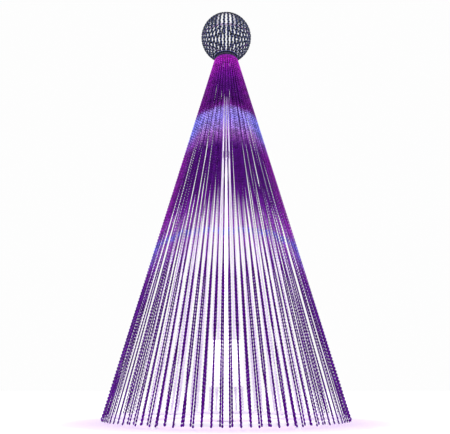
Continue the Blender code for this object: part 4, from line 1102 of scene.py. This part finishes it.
def makeFloor():
    half = studio["floorSize"] / 2
    corners = [(-half, -half, 0), (half, -half, 0), (half, half, 0), (-half, half, 0)]
    mesh = meshFrom("studioFloor", corners, [(0, 1, 2, 3)])
    floor = bpy.data.objects.new("studioFloor", mesh)
    bpy.context.scene.collection.objects.link(floor)
    finish, tree, shader = newFinish("studioFloor", studio["floorRoughness"], 0.0)
    reach = node(tree, "VectorMath", {"operation": "LENGTH"}, Vector=worldPlace(tree)).outputs["Value"]
    near = node(tree, "MapRange", {"interpolation_type": "SMOOTHSTEP"}, i0=reach, i1=studio["glowEnd"],
                i2=studio["glowStart"], i3=0.0, i4=1.0).outputs[0]
    plain, paintedGlow = (*[studio["floorColour"]] * 3, 1), (*studio["glowColour"], 1)
    tree.links.new(mixColour(tree, near, plain, paintedGlow), shader.inputs["Base Color"])
    tree.links.new(mixColour(tree, near, (1, 1, 1, 1), paintedGlow), shader.inputs["Emission Color"])
    path = node(tree, "LightPath")
    lift = maths(tree, "MULTIPLY", path.outputs["Is Camera Ray"], studio["floorLift"])
    tree.links.new(lift, shader.inputs["Emission Strength"])
    mesh.materials.append(finish)


lamps = {
    "leftWindow": dict(place=(-4.2, -1.2, 2.4), aim=(0, 0, 1.5), size=(2.0, 3.6), power=22),
    "rightWindow": dict(place=(4.2, -1.2, 2.4), aim=(0, 0, 1.5), size=(2.0, 3.6), power=22),
    "overhead": dict(place=(0, -1.5, 5.5), aim=(0, 0, 1.5), size=(3.0, 3.0), power=16),
}


def makeLamps():
    for name, values in lamps.items():
        lamp = bpy.data.lights.new(name, "AREA")
        lamp.shape = "RECTANGLE"
        lamp.size, lamp.size_y = values["size"]
        lamp.energy = values["power"]
        obj = bpy.data.objects.new(name, lamp)
        bpy.context.scene.collection.objects.link(obj)
        obj.location = values["place"]
        towards = Vector(values["aim"]) - Vector(values["place"])
        obj.rotation_euler = towards.to_track_quat("-Z", "Y").to_euler()


# The strings light the mast and the back of each other from inside the cone
insideLamps = {
    "heights": (0.55, 1.15, 1.7),
    "powers": (3.2, 2.2, 1.0),
    "forward": 0.16,  # in front of the mast
    "radius": 0.10,
    "colour": (1.0, 0.93, 1.0),
}


def makeInsideLamps():
    for height, power in zip(insideLamps["heights"], insideLamps["powers"]):
        lamp = bpy.data.lights.new(f"insideLamp_{height}", "POINT")
        lamp.energy = power
        lamp.color = insideLamps["colour"]
        lamp.shadow_soft_size = insideLamps["radius"]
        obj = bpy.data.objects.new(lamp.name, lamp)
        bpy.context.scene.collection.objects.link(obj)
        obj.location = (0, -insideLamps["forward"], height)


# The photograph's camera: low, close and looking up
view = {
    "place": (0, -4.259, 0.2283),
    "tilt": 16.22,
    "lens": 46.86,
    "sensor": 36.0,
    "shift": -0.00267,
    "clip": (0.05, 200),
}


def makeCamera():
    data = bpy.data.cameras.new("photoCamera")
    data.sensor_width = view["sensor"]
    data.lens = view["lens"]
    data.shift_x = view["shift"]
    data.clip_start, data.clip_end = view["clip"]
    camera = bpy.data.objects.new("photoCamera", data)
    bpy.context.scene.collection.objects.link(camera)
    camera.location = view["place"]
    camera.rotation_euler = (math.radians(90 + view["tilt"]), 0, 0)
    bpy.context.scene.camera = camera


makeWorld()
makeFloor()
makeLamps()
makeInsideLamps()
makeCamera()
bpy.context.scene.view_settings.view_transform = "Standard"
print("stage, lamps and camera made")
